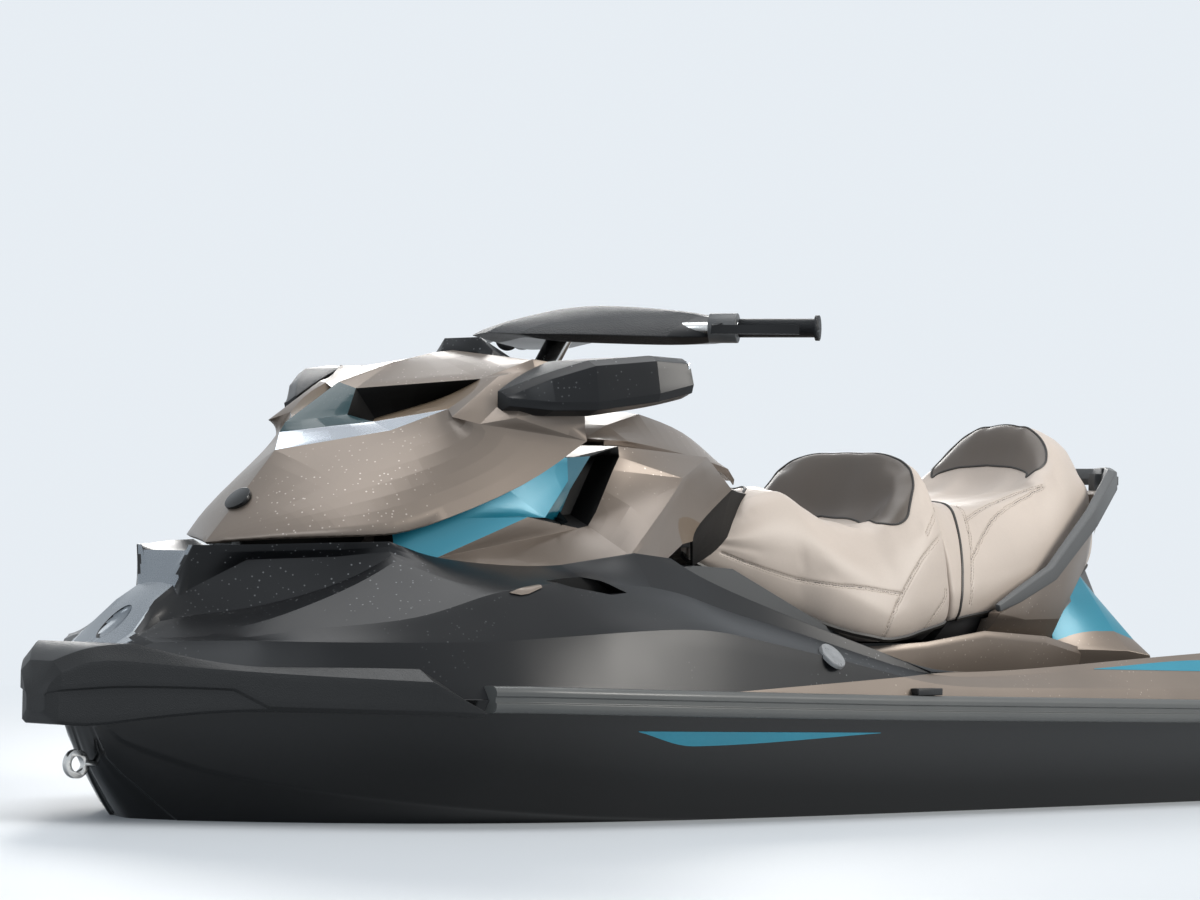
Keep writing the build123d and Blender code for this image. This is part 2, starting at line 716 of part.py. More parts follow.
def make_side_flanks():
    y = pedestal_half + seam_gap
    slices = []
    for x, ly, oy, oz in flank_lines:
        inner = min(oz, pedestal_top)
        slices.append((x, [(y, flank_foot), (ly, flank_foot), (oy, oz - 14), (oy - 4, oz), (y + 12, inner),
                           (y, inner - 2)]))
    return pair(side_loft(slices))


# Tail cowl: x, hip y z, peak y z, top y z
tail_lines = [
    (-694, 222, 284, 214, 338, 150, 344),
    (-760, 256, 286, 204, 404, 150, 416),
    (-835, 300, 284, 168, 436, 120, 486),
    (-880, 318, 276, 176, 392, 110, 520),
    (-985, 250, 232, 150, 262, 100, 266),
]


def make_tail_cowl():
    body = skin([(x, [(0, 200), (206, 200), (hy, hz), (py, pz), (ty, tz), (0, tz)])
                 for x, hy, hz, py, pz, ty, tz in tail_lines])
    body = body - deck_body(seam_gap) - base_body(seam_gap) - lift_room(move_gap)
    return max((body - make_side_flanks()).solids(), key=lambda s: s.volume)


mat_thickness = 4.0


def make_mats():
    rows = [row for row in footwell_lines if -760 <= row[0] <= 320]
    slices = []
    for x, yi, yo, floor, _ in rows:
        low, high = floor + seam_gap, floor + seam_gap + mat_thickness
        slices.append((x, [(yi + 6, low), (yo - 6, low), (yo - 6, high), (yi + 6, high)]))
    return pair(side_loft(slices))


def make_platform_mat():
    return plate([(-1060, 330), (-1060, -330), (-1640, -350), (-1675, -320), (-1675, 320), (-1640, 350)],
                 platform_z + seam_gap, platform_z + seam_gap + mat_thickness)


def make_engine():
    return block((-560, -130), (-150, 150), (bay_floor + seam_gap, 190))


# Jet pump: along X about the pump axis
def turned(profile):
    """Solid of revolution about the pump axis from (x, radius) points."""
    face = Face(Wire.make_polygon([Vector(x, 0, pump_z + r) for x, r in profile]))
    return revolve(face, Axis((0, 0, pump_z), (1, 0, 0)), 360)


bore_r, impeller_r = 80.0, 74.5
nozzle_ear = pump_z + 94


def flipped(shape):
    """The copy of a piece on the other side of the pump axis, above or below."""
    return shape.mirror(Plane(origin=(0, 0, pump_z), z_dir=(0, 0, 1)))


def bottom_plate(x_low, x_high, half, low, high):
    """V plate in the plane of the hull bottom, from low under to high over its skin."""
    rise = half * (keel_depth - 170) / 220
    outline = [(-half, rise - low), (0, -low), (half, rise - low),
               (half, rise + high), (0, high), (-half, rise + high)]
    wire = Wire.make_polygon([Vector(x_low, y, z - keel_depth) for y, z in outline])
    return Solid.extrude(Face(wire), Vector(x_high - x_low, 0, 0))


def make_pump():
    body = turned([(-1270, bore_r), (-1270, 98), (-1400, 98), (-1470, 66), (-1484, 66), (-1484, 114.7),
                   (-1500, 114.7), (-1500, 62), (-1560, 52), (-1560, 44), (-1480, 50), (-1404, bore_r)])
    body += rod((-1385, 0, pump_z), (-1462, 0, pump_z), 28)
    for turn in range(4):
        vane = block((-1450, -1405), (-3, 3), (pump_z + 24, pump_z + 76))
        body += vane.rotate(Axis((0, 0, pump_z), (1, 0, 0)), 45 + 90 * turn)
    ear = block((-1575, -1484), (-14, 14), (nozzle_ear, nozzle_ear + 10))
    ear += block((-1500, -1484), (-14, 14), (pump_z + 60, nozzle_ear + 10))
    ear += rod((nozzle_pivot_x, 0, nozzle_ear - 14), (nozzle_pivot_x, 0, nozzle_ear + 10), nozzle_pin_r)
    cheek = block((bucket_pivot_x - 12, -1484), (86, 96), (pump_z - 14, pump_z + 14))
    cheek += rod((bucket_pivot_x, 90, pump_z), (bucket_pivot_x, 113, pump_z), bucket_pin_r)
    body = body + ear + flipped(ear) + cheek + starboard(cheek)
    body -= bottom_plate(-1520, -1250, tunnel_half + 5, 120, 11)
    return body - rod((-1396 - seam_gap, 0, pump_z), (-1370, 0, pump_z), shaft_end_r + seam_gap)


def make_impeller():
    hub = turned([(-1300, 0), (-1300, 20), (-1320, 28), (-1378, 28), (-1378, 0)])
    body = hub + rod((-1300, 0, pump_z), (tunnel_front - 4, 0, pump_z), 14)
    body += rod((-1378, 0, pump_z), (-1396, 0, pump_z), shaft_end_r)
    blade = Pos(-1345, 0, pump_z + 50) * (Rot(0, 0, blade_pitch) * Box(64, 5, 52))
    tip = rod((-1400, 0, pump_z), (-1290, 0, pump_z), impeller_r)
    for turn in range(4):
        body += blade.rotate(Axis((0, 0, pump_z), (1, 0, 0)), 90 * turn) & tip
    return body


def make_nozzle():
    tube = turned([(-1546, 72), (-1546, 80), (-1572, 80), (-1650, 54), (-1650, 46), (-1572, 72)])
    boss = rod((nozzle_pivot_x, 0, pump_z + 68), (nozzle_pivot_x, 0, nozzle_ear - 1), 14)
    boss -= rod((-1700, 0, pump_z), (-1500, 0, pump_z), 74)
    pin_hole = rod((nozzle_pivot_x, 0, pump_z - 120), (nozzle_pivot_x, 0, pump_z + 120),
                   nozzle_pin_r + seam_gap)
    return tube + boss + flipped(boss) - pin_hole


bucket_r, bucket_wall = 158.0, 8.0


def make_bucket():
    """Reverse bucket in its raised place."""
    def arc(radius, low, high, steps=7):
        turns = [math.radians(low + (high - low) * i / steps) for i in range(steps + 1)]
        return [(bucket_pivot_x - radius * math.cos(turn), pump_z + radius * math.sin(turn)) for turn in turns]
    outer = arc(bucket_r + bucket_wall, 24, 90)
    inner = arc(bucket_r, 24, 90)
    shell = prism(outer + inner[::-1], -112, 112)
    hub = [(bucket_pivot_x + 14, pump_z + 6), (bucket_pivot_x + 4, pump_z - 14), (bucket_pivot_x - 14, pump_z - 8)]
    cheek = prism(outer + hub, 104, 112)
    body = shell + cheek + starboard(cheek)
    return body - rod((bucket_pivot_x, -130, pump_z), (bucket_pivot_x, 130, pump_z), bucket_pin_r + seam_gap)


step_half, step_reach, step_bar = 132.0, 118.0, 11.0


def make_step():
    x, z = step_hinge
    arm = rod((x, step_half, z), (x + step_reach, step_half, z), step_bar)
    arm += rod((x, step_half - 12, z), (x, step_half + 12, z), step_bar + 2)
    arm -= rod((x, 90, z), (x, 180, z), step_pin_r + seam_gap)
    rung_half = step_half + step_bar
    rung = rod((x + step_reach, -rung_half, z), (x + step_reach, rung_half, z), step_bar)
    return arm + starboard(arm) + rung


def make_step_brackets():
    x, z = step_hinge
    lug = block((x - 12, x + 12), (104, 116), (z - 12, 163)) + rod((x, 104, z), (x, 148, z), step_pin_r)
    return pair(lug - deck_body(seam_gap))


def make_ride_plate():
    return bottom_plate(transom_x, -1262, tunnel_half - seam_gap, 0, 9)


def make_intake_grate():
    grate = bottom_plate(-1258, -866, tunnel_half - 25 - seam_gap, 0, 9)
    for i in range(5):
        y = -64 + i * 32
        grate -= block((-1236, -884), (y - 11, y + 11), (-300, -200))
    return grate


def make_sponsons():
    fin = side_loft([(-880, [(505, -4), (588, 6), (592, 20), (530, 30)]),
                     (-1020, [(505, -30), (606, -24), (612, 30), (530, 60)]),
                     (-1440, [(500, -34), (604, -28), (610, 34), (520, 64)])])
    return pair(max((fin - hull_body(seam_gap)).solids(), key=lambda s: s.volume))


cleat_x, cleat_height = (90.0, 156.0), 12.4


def make_cleats():
    low = bond_z(cleat_x[1]) + rail_height / 2 + seam_gap
    cleat = block(cleat_x, (half_beam - 11, half_beam + 10), (low, low + cleat_height)) - deck_body(seam_gap)
    return pair(max(cleat.solids(), key=lambda s: s.volume))


eye_r, eye_hole_r = 24.0, 13.0
tow_eye_z = pump_z + 210


def eye_plate(x, z, root_x):
    """Flat ring in the centre plane on a shank that runs into the hull."""
    def disc(radius, half):
        return rod((x, -half, z), (x, half, z), radius)
    inner_end = x + (16 if root_x > x else -16)
    return disc(eye_r, 5) + rod((inner_end, 0, z), (root_x, 0, z), 6) - disc(eye_hole_r, 9)


def make_bow_eye():
    eye = eye_plate(1562, 92, 1500)
    return max((eye - hull_body(seam_gap)).solids(), key=lambda s: s.volume)


def make_tow_eye():
    return eye_plate(-1534, tow_eye_z, transom_x - seam_gap)


def make_pan(rows, x_high, x_low, grow=0.0):
    """Base board under a cushion, between it and the pedestal rim."""
    stations = []
    for x in (x_high, *[row[0] for row in rows if x_low < row[0] < x_high], x_low):
        front, back = next((a, b) for a, b in zip(rows, rows[1:]) if b[0] <= x <= a[0])
        t = (front[0] - x) / (front[0] - back[0])
        by, bz = front[1] + (back[1] - front[1]) * t, front[2] + (back[2] - front[2]) * t
        top, reach = bz - seam_gap + grow, by - 12 + grow
        low = 302 - 2 * grow
        stations.append((x, [(0, low), (min(192 + grow, reach), low), (reach, top), (0, top)]))
    return skin(stations)


def make_bay_seal():
    low, high = pan_x[1] + 4, pan_x[0] - 4
    ring_out = block((low, high), (-190, 190), (pedestal_top + seam_gap, 302 - seam_gap))
    return ring_out - block((low + 20, high - 20), (-176, 176), (200, 400))


if __name__ == "__main__":
    makers = {
        "hull": make_hull,
        "deck": make_deck,
        "rub_rail": make_rub_rail,
        "bow_bumper": make_bow_bumper,
        "console": make_console,
        "storage_bin": lambda: tub(store_x, store_y, store_floor, 444, bin_wall),
        "glovebox_bin": lambda: tub(glove_x, glove_y, glove_floor, glove_rim, bin_wall),
        "lid_hinge": make_lid_hinge,
        "glovebox_lid": make_glovebox_lid,
        "hood": make_hood,
        "hood_hinge": make_hood_hinge,
        "hood_scoop": make_hood_scoop,
        "hood_trim": make_hood_trim,
        "mirror_housings": make_mirror_housing,
        "mirror_glasses": make_mirror_glass,
        "steering_column": make_steering_column,
        "gauge_pod": make_gauge_pod,
        "handlebar": make_handlebar,
        "bar_pad": make_bar_pad,
        "grips": lambda: pair(make_grip()),
        "switch_housings": lambda: pair(make_switch()),
        "levers": lambda: pair(make_lever()),
        "driver_seat": make_driver_seat,
        "passenger_seat": make_passenger_seat,
        "seat_base": make_seat_base,
        "grab_handle": make_grab_handle,
        "side_flanks": make_side_flanks,
        "tail_cowl": make_tail_cowl,
        "cowl_panels": make_cowl_panels,
        "nose_cap": make_nose_cap,
        "footwell_mats": make_mats,
        "platform_mat": make_platform_mat,
        "driver_pan": lambda: make_pan(driver_lines, -205, -332),
        "seat_pan": lambda: make_pan(passenger_lines, *pan_x),
        "bay_seal": make_bay_seal,
        "engine": make_engine,
        "pump": make_pump,
        "impeller": make_impeller,
        "steering_nozzle": make_nozzle,
        "reverse_bucket": make_bucket,
        "boarding_step": make_step,
        "step_brackets": make_step_brackets,
        "ride_plate": make_ride_plate,
        "intake_grate": make_intake_grate,
        "sponsons": make_sponsons,
        "cleats": make_cleats,
        "bow_eye": make_bow_eye,
        "tow_eye": make_tow_eye,
    }
    for name, make in makers.items():
        save(make(), name)
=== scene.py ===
import math
from contextlib import contextmanager

import bpy
import bmesh
import numpy as np
from mathutils import Matrix, Vector
from mathutils.bvhtree import BVHTree
from mathutils.kdtree import KDTree


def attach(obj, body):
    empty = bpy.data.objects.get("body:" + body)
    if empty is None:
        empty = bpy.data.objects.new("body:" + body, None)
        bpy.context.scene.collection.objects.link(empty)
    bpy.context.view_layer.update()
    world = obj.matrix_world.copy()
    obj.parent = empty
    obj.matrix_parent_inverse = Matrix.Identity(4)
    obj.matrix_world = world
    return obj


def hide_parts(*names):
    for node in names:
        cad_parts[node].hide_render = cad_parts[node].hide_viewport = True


# Personal watercraft. Tables are in millimetres, x to the bow, y to port, z up from the waterline.

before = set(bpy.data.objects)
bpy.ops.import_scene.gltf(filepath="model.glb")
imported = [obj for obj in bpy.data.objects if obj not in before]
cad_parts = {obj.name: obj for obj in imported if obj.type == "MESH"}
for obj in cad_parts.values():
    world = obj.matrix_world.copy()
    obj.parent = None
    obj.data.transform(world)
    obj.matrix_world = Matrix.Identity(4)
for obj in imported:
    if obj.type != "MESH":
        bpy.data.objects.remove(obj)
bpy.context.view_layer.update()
print("frame loaded")

mm = 0.001
sharpAngle = 38


# Lines and rings

def curveThrough(xs, values, at):
    # smooth curve through the table's values that never overshoots them
    order = np.argsort(xs)
    x, v = np.asarray(xs, float)[order], np.asarray(values, float)[order]
    gap, slope = np.diff(x), np.diff(v) / np.diff(x)
    tangent = np.zeros(len(x))
    tangent[0], tangent[-1] = slope[0], slope[-1]
    for i in range(1, len(x) - 1):
        if slope[i - 1] * slope[i] > 0:
            a, b = 2 * gap[i] + gap[i - 1], gap[i] + 2 * gap[i - 1]
            tangent[i] = (a + b) / (a / slope[i - 1] + b / slope[i])
    k = np.clip(np.searchsorted(x, at, side="right") - 1, 0, len(x) - 2)
    t = (at - x[k]) / gap[k]
    return (v[k] * (1 + 2 * t) * (1 - t) ** 2 + tangent[k] * gap[k] * t * (1 - t) ** 2
            + v[k + 1] * t * t * (3 - 2 * t) + tangent[k + 1] * gap[k] * t * t * (t - 1))


def denseRows(rows, step):
    # rows as (x, value, value, ...), filled in along x about every step
    xs = np.array([row[0] for row in rows], float)
    at = []
    for a, b in zip(xs, xs[1:]):
        n = max(1, round(abs(b - a) / step))
        at += [a + (b - a) * i / n for i in range(n)]
    at = np.array(at + [xs[-1]])
    columns = [curveThrough(xs, [row[c] for row in rows], at) for c in range(1, len(rows[0]))]
    return [(x, *values) for x, *values in zip(at, *columns)]


def bothSides(half):
    # a port half section as (y, z), and its starboard half without the points on the centreline
    return half + [(-y, z) for y, z in half[-2::-1] if y > 0.01]


def roundedRing(corners, radii, crowns, cornerSteps=4, panelSteps=3):
    # corners as (y, z); each is rounded by its radius, and the panel after it stands out by its crown
    points = [Vector(c) for c in corners]
    ends = []
    for i, p in enumerate(points):
        before, after = points[i - 1] - p, points[(i + 1) % len(points)] - p
        r = min(radii[i], 0.45 * before.length, 0.45 * after.length)
        ends.append((p + before.normalized() * r, p + after.normalized() * r))
    ring = []
    for i, p in enumerate(points):
        a, b = ends[i]
        for s in range(cornerSteps + 1):
            t = s / cornerSteps
            ring.append(a * (1 - t) ** 2 + p * 2 * t * (1 - t) + b * t * t)
        along = ends[(i + 1) % len(points)][0] - b
        out = Vector((along.y, -along.x)).normalized() if along.length > 1e-6 else Vector((0, 0))
        for s in range(1, panelSteps + 1):
            t = s / (panelSteps + 1)
            ring.append(b + along * t + out * crowns[i] * 4 * t * (1 - t))
    return ring


def roundEnds(rings, radii, steps=4):
    # turns the rims of the fore and the aft face over, towards each ring's middle
    out = list(rings)
    for ring, radius, forward in ((rings[0], radii[0], 1), (rings[-1], radii[1], -1)):
        middle = sum(ring, Vector()) / len(ring)
        along = Vector((forward, 0, 0))
        turned = [[p - along * radius for p in ring]]
        for s in range(1, steps + 1):
            angle = math.pi / 2 * s / steps
            shrunk = []
            for p in ring:
                arm = Vector((0, p.y - middle.y, p.z - middle.z))
                k = max(0.0, 1 - radius * (1 - math.cos(angle)) / max(arm.length, radius))
                shrunk.append(Vector((p.x, middle.y, middle.z)) + arm * k + along * radius * (math.sin(angle) - 1))
            turned.append(shrunk)
        out = turned[::-1] + out[1:] if forward > 0 else out[:-1] + turned
    return out


# Meshes and objects

@contextmanager
def meshEdit(mesh):
    # a mesh opened for editing, then written back
    bm = bmesh.new()
    bm.from_mesh(mesh)
    yield bm
    bm.to_mesh(mesh)
    bm.free()


def placed(name, data):
    made = bpy.data.objects.new(name, data)
    bpy.context.scene.collection.objects.link(made)
    return made


def shaded(made, sharp=sharpAngle):
    # smooth, with sharp edges above an angle in degrees
    made.data.polygons.foreach_set("use_smooth", [True] * len(made.data.polygons))
    made.data.set_sharp_from_angle(angle=math.radians(sharp))
    return made


def dress(mesh, *finishNames):
    # gives a mesh these finishes and no others
    mesh.materials.clear()
    for name in finishNames:
        mesh.materials.append(finishes[name])


def newMesh(name, verts, faces):
    mesh = bpy.data.meshes.new(name)
    mesh.from_pydata([tuple(Vector(v) * mm) for v in verts], [], faces)
    return mesh


def solidFrom(name, verts, faces, sharp=sharpAngle):
    # object from points in millimetres, without doubles and with its faces outwards
    mesh = newMesh(name, verts, faces)
    with meshEdit(mesh) as bm:
        bmesh.ops.remove_doubles(bm, verts=bm.verts, dist=0.03 * mm)
        bmesh.ops.dissolve_degenerate(bm, dist=0.02 * mm, edges=bm.edges)
        bmesh.ops.recalc_face_normals(bm, faces=bm.faces)
    return shaded(placed(name, mesh), sharp)


def ringFaces(count, n, closed=True):
    # quads between rings of n points each, and the two end caps of a closed skin
    faces = []
    for start in range(0, (count - 1) * n, n):
        for i in range(n if closed else n - 1):
            a, b = start + i, start + (i + 1) % n
            faces.append((a, b, b + n, a + n))
    if closed:
        faces += [tuple(range(n))[::-1], tuple(range((count - 1) * n, count * n))]
    return faces


def meshFrom(name, rings, sharp=sharpAngle):
    # closed skin over rings of as many points each
    return solidFrom(name, [p for ring in rings for p in ring], ringFaces(len(rings), len(rings[0])), sharp)


def lofted(name, rows, ringOf, step):
    # skin over the (y, z) rings of rows that are filled in along x
    return meshFrom(name, [[Vector((row[0], *p)) for p in ringOf(row)] for row in denseRows(rows, step)])


def addTwin(bm):
    # the mirror image on the starboard side
    twin = bmesh.ops.duplicate(bm, geom=bm.verts[:] + bm.edges[:] + bm.faces[:])["geom"]
    for v in twin:
        if isinstance(v, bmesh.types.BMVert):
            v.co.y = -v.co.y
    bmesh.ops.reverse_faces(bm, faces=[f for f in twin if isinstance(f, bmesh.types.BMFace)])


def withTwin(made):
    with meshEdit(made.data) as bm:
        addTwin(bm)
    return made


def evaluatedMesh(made):
    bpy.context.view_layer.update()
    return bpy.data.meshes.new_from_object(made.evaluated_get(bpy.context.evaluated_depsgraph_get()))


def plainMesh(source, name):
    # an object with its modifiers as a plain mesh object of that name
    mesh = evaluatedMesh(source)
    bpy.data.objects.remove(source)
    mesh.name = name
    return placed(name, mesh)


def surfaceOf(made):
    return BVHTree.FromObject(made, bpy.context.evaluated_depsgraph_get())


def joined(name, parts):
    # one mesh from several objects, keeping their materials
    bm, materials = bmesh.new(), []
    for part in parts:
        start, own = len(bm.faces), part.data.materials
        bm.from_mesh(part.data)
        bm.faces.ensure_lookup_table()
        for f in bm.faces[start:]:
            finish = own[f.material_index] if own else None
            if finish not in materials:
                materials.append(finish)
            f.material_index = materials.index(finish)
    mesh = bpy.data.meshes.new(name)
    for finish in materials:
        mesh.materials.append(finish)
    bm.to_mesh(mesh)
    bm.free()
    mesh.set_sharp_from_angle(angle=math.radians(sharpAngle))
    for part in parts:
        bpy.data.objects.remove(part)
    return placed(name, mesh)


def boxSolid(x, y, z):
    # closed box between (low, high) pairs in millimetres
    corners = [(a, b, c) for a in x for b in y for c in z]
    faces = [(0, 1, 3, 2), (4, 6, 7, 5), (0, 4, 5, 1), (2, 3, 7, 6), (0, 2, 6, 4), (1, 5, 7, 3)]
    return solidFrom("cutter", corners, faces)


def prismSolid(outline, y):
    # closed solid from an (x, z) outline between two y values
    n = len(outline)
    faces = [tuple(range(n)), tuple(range(n, 2 * n))[::-1]]
    faces += [(i, (i + 1) % n, n + (i + 1) % n, n + i) for i in range(n)]
    return solidFrom("cutter", [(a, side, b) for side in y for a, b in outline], faces)


def sideSolid(rows):
    # closed solid through (x, [(y, z), ...]) outlines
    return meshFrom("cutter", [[(x, y, z) for y, z in outline] for x, outline in rows])


def carve(made, cutters, operation="DIFFERENCE"):
    # cuts or adds solids, then drops them
    for cutter in cutters:
        change = made.modifiers.new("carve", "BOOLEAN")
        change.operation, change.solver, change.object = operation, "EXACT", cutter
        mesh = evaluatedMesh(made)
        made.modifiers.remove(change)
        made.data = mesh
        bpy.data.objects.remove(cutter)
    return shaded(made)


def edgesRounded(made, width, segments=2, angle=32):
    # bevels the sharp edges and bakes the result
    soft = made.modifiers.new("edges", "BEVEL")
    soft.width, soft.segments, soft.limit_method = width * mm, segments, "ANGLE"
    soft.angle_limit = math.radians(angle)
    return shaded(plainMesh(made, made.name))


def softened(node, width, segments=2):
    # a CAD node's own shape with its hard edges turned over, or as it is where the width is 0
    bm = bmesh.new()
    bm.from_mesh(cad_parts[node].data)
    bmesh.ops.remove_doubles(bm, verts=bm.verts, dist=0.02 * mm)
    if width:
        bmesh.ops.dissolve_limit(bm, angle_limit=math.radians(2), verts=bm.verts, edges=bm.edges)
    mesh = bpy.data.meshes.new(node + "_finished")
    bm.to_mesh(mesh)
    bm.free()
    made = shaded(placed(node + "_finished", mesh))
    return edgesRounded(made, width, segments) if width else made


def fit(made, body, finish, nodes=()):
    # gives a piece its finish, its body, and the CAD nodes that it stands for
    if finish:
        dress(made.data, finish)
    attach(made, body)
    if nodes:
        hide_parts(*nodes)
    return made


def painted(made, finishNames, rule):
    # finishes by place: the rule gives a number from a face's centre in millimetres and its normal
    dress(made.data, *finishNames)
    made.data.polygons.foreach_set("material_index", [rule(f.center / mm, f.normal) for f in made.data.polygons])
    return made


def withinOutline(point, outline):
    # whether a flat point lies within a closed outline
    x, y = point
    hits = 0
    for (ax, ay), (bx, by) in zip(outline, outline[1:] + outline[:1]):
        if (ay > y) != (by > y) and x < (bx - ax) * (y - ay) / (by - ay) + ax:
            hits += 1
    return hits % 2 == 1


# Node trees

def nodesIn(tree, prefix, **kinds):
    return {name: tree.nodes.new(prefix + kind) for name, kind in kinds.items()}


def preset(nodes, values):
    # values by node and socket
    for name, sockets in values.items():
        for socket, value in sockets.items():
            nodes[name].inputs[socket].default_value = value


def wired(tree, nodes, *links):
    # links as "node.output > node.input", sockets by name or number
    for link in links:
        ends = (end.split(".") for end in link.split(" > "))
        (source, out), (target, into) = ((nodes[n], int(s) if s.isdigit() else s) for n, s in ends)
        tree.links.new(source.outputs[out], target.inputs[into])


def alongTree(name):
    # repeats a short peg along every line of a wire mesh, lying along it
    tree = bpy.data.node_groups.new(name, "GeometryNodeTree")
    for label, way, kind in (("Geometry", "INPUT", "Geometry"), ("Spacing", "INPUT", "Float"),
                             ("Length", "INPUT", "Float"), ("Radius", "INPUT", "Float"),
                             ("Finish", "INPUT", "Material"), ("Geometry", "OUTPUT", "Geometry")):
        tree.interface.new_socket(label, in_out=way, socket_type="NodeSocket" + kind)
    nodes = nodesIn(tree, "GeometryNode", curve="MeshToCurve", even="ResampleCurve", peg="MeshCylinder",
                    put="InstanceOnPoints", tangent="InputTangent", real="RealizeInstances", dye="SetMaterial")
    nodes |= nodesIn(tree, "", given="NodeGroupInput", result="NodeGroupOutput",
                     turn="FunctionNodeAlignRotationToVector")
    nodes["even"].mode, nodes["turn"].axis = "LENGTH", "Z"
    preset(nodes, {"peg": {"Vertices": 6}})
    wired(tree, nodes, "given.Geometry > curve.Mesh", "curve.Curve > even.Curve", "given.Spacing > even.Length",
          "even.Curve > put.Points", "given.Length > peg.Depth", "given.Radius > peg.Radius", "peg.Mesh > put.Instance",
          "tangent.Tangent > turn.Vector", "turn.Rotation > put.Rotation", "put.Instances > real.Geometry",
          "real.Geometry > dye.Geometry", "given.Finish > dye.Material", "dye.Geometry > result.Geometry")
    return tree


pegsOnLines = alongTree("pegsAlongLines")


def pegsAlong(name, lines, spacing, length, radius, finish):
    # plain mesh of pegs along polylines given in metres
    mesh = bpy.data.meshes.new(name + "_wire")
    verts, edges = [], []
    for line in lines:
        edges += [(len(verts) + i, len(verts) + i + 1) for i in range(len(line) - 1)]
        verts += [tuple(p) for p in line]
    mesh.from_pydata(verts, edges, [])
    wire = placed(name + "_wire", mesh)
    pegs = wire.modifiers.new("pegs", "NODES")
    pegs.node_group = pegsOnLines
    sockets = {i.name: i.identifier for i in pegsOnLines.interface.items_tree if i.in_out == "INPUT"}
    for label, value in (("Spacing", spacing * mm), ("Length", length * mm), ("Radius", radius * mm),
                         ("Finish", finishes[finish])):
        pegs[sockets[label]] = value
    return shaded(plainMesh(wire, name))


# Finishes

plainLook = dict(slowScale=5, fineScale=220, fineShare=0.35, swing=0.08, roughSwing=0.05, metal=0, coat=0,
                 coatRough=0.08, specular=0.5, sheen=0, bump=0.1, bumpDepth=0.0004, spots=0, cells=0)


def shaderFor(name, own):
    # one finish: colour with a slow and a fine variation, roughness and a bump, all in object space
    look = {**plainLook, **own}
    made = bpy.data.materials.new(name)
    made.use_nodes = True
    tree = made.node_tree
    nodes = nodesIn(tree, "ShaderNode", place="TexCoord", slow="TexNoise", fine="TexNoise", both="Math",
                    ramp="ValToRGB", rough="MapRange", bump="Bump")
    nodes["shader"] = tree.nodes["Principled BSDF"]
    nodes["both"].operation = "MULTIPLY_ADD"
    preset(nodes, {
        "slow": {"Scale": look["slowScale"], "Detail": 3}, "fine": {"Scale": look["fineScale"], "Detail": 4},
        "both": {1: look["fineShare"]},
        "rough": {"From Min": 0.35, "From Max": 0.9, "To Min": max(0.02, look["rough"] - look["roughSwing"]),
                  "To Max": look["rough"] + look["roughSwing"]},
        "shader": {"Metallic": look["metal"], "Coat Weight": look["coat"], "Coat Roughness": look["coatRough"],
                   "Specular IOR Level": look["specular"], "Sheen Weight": look["sheen"]},
        "bump": {"Strength": look["bump"], "Distance": look["bumpDepth"]}})
    ends = zip(nodes["ramp"].color_ramp.elements, (0.4, 0.95), (1 - look["swing"], 1 + look["swing"]))
    for element, position, share in ends:
        element.position, element.color = position, (*(Vector(look["colour"]) * share), 1)
    wired(tree, nodes, "place.Object > slow.Vector", "place.Object > fine.Vector", "fine.Fac > both.0",
          "slow.Fac > both.2", "both.0 > ramp.Fac", "both.0 > rough.Value", "rough.Result > shader.Roughness",
          "ramp.Color > shader.Base Color", "fine.Fac > bump.Height", "bump.Normal > shader.Normal")
    if look["spots"]:
        # lighter specks standing for water drops, of different sizes, thicker in some places than in others: their
        # lighter colour is painted highlight
        nodes |= nodesIn(tree, "ShaderNode", drops="TexVoronoi", mask="MapRange", few="MapRange", share="Math",
                         speck="Mix")
        nodes["share"].operation, nodes["speck"].data_type = "MULTIPLY", "RGBA"
        preset(nodes, {"drops": {"Scale": look["spots"]}, "mask": {"From Min": 0.17, "From Max": 0.11},
                       "few": {"From Min": 0.50, "From Max": 0.66}, "speck": {"B": (*look["dropGlintColour"], 1)}})
        wired(tree, nodes, "place.Object > drops.Vector", "drops.Distance > mask.Value", "slow.Fac > few.Value",
              "mask.Result > share.0", "few.Result > share.1", "share.0 > speck.Factor", "ramp.Color > speck.A",
              "speck.Result > shader.Base Color")
    if look["cells"]:
        nodes |= nodesIn(tree, "ShaderNode", cells="TexVoronoi")
        preset(nodes, {"cells": {"Scale": look["cells"]}})
        wired(tree, nodes, "place.Object > cells.Vector", "cells.Distance > bump.Height")
    return made


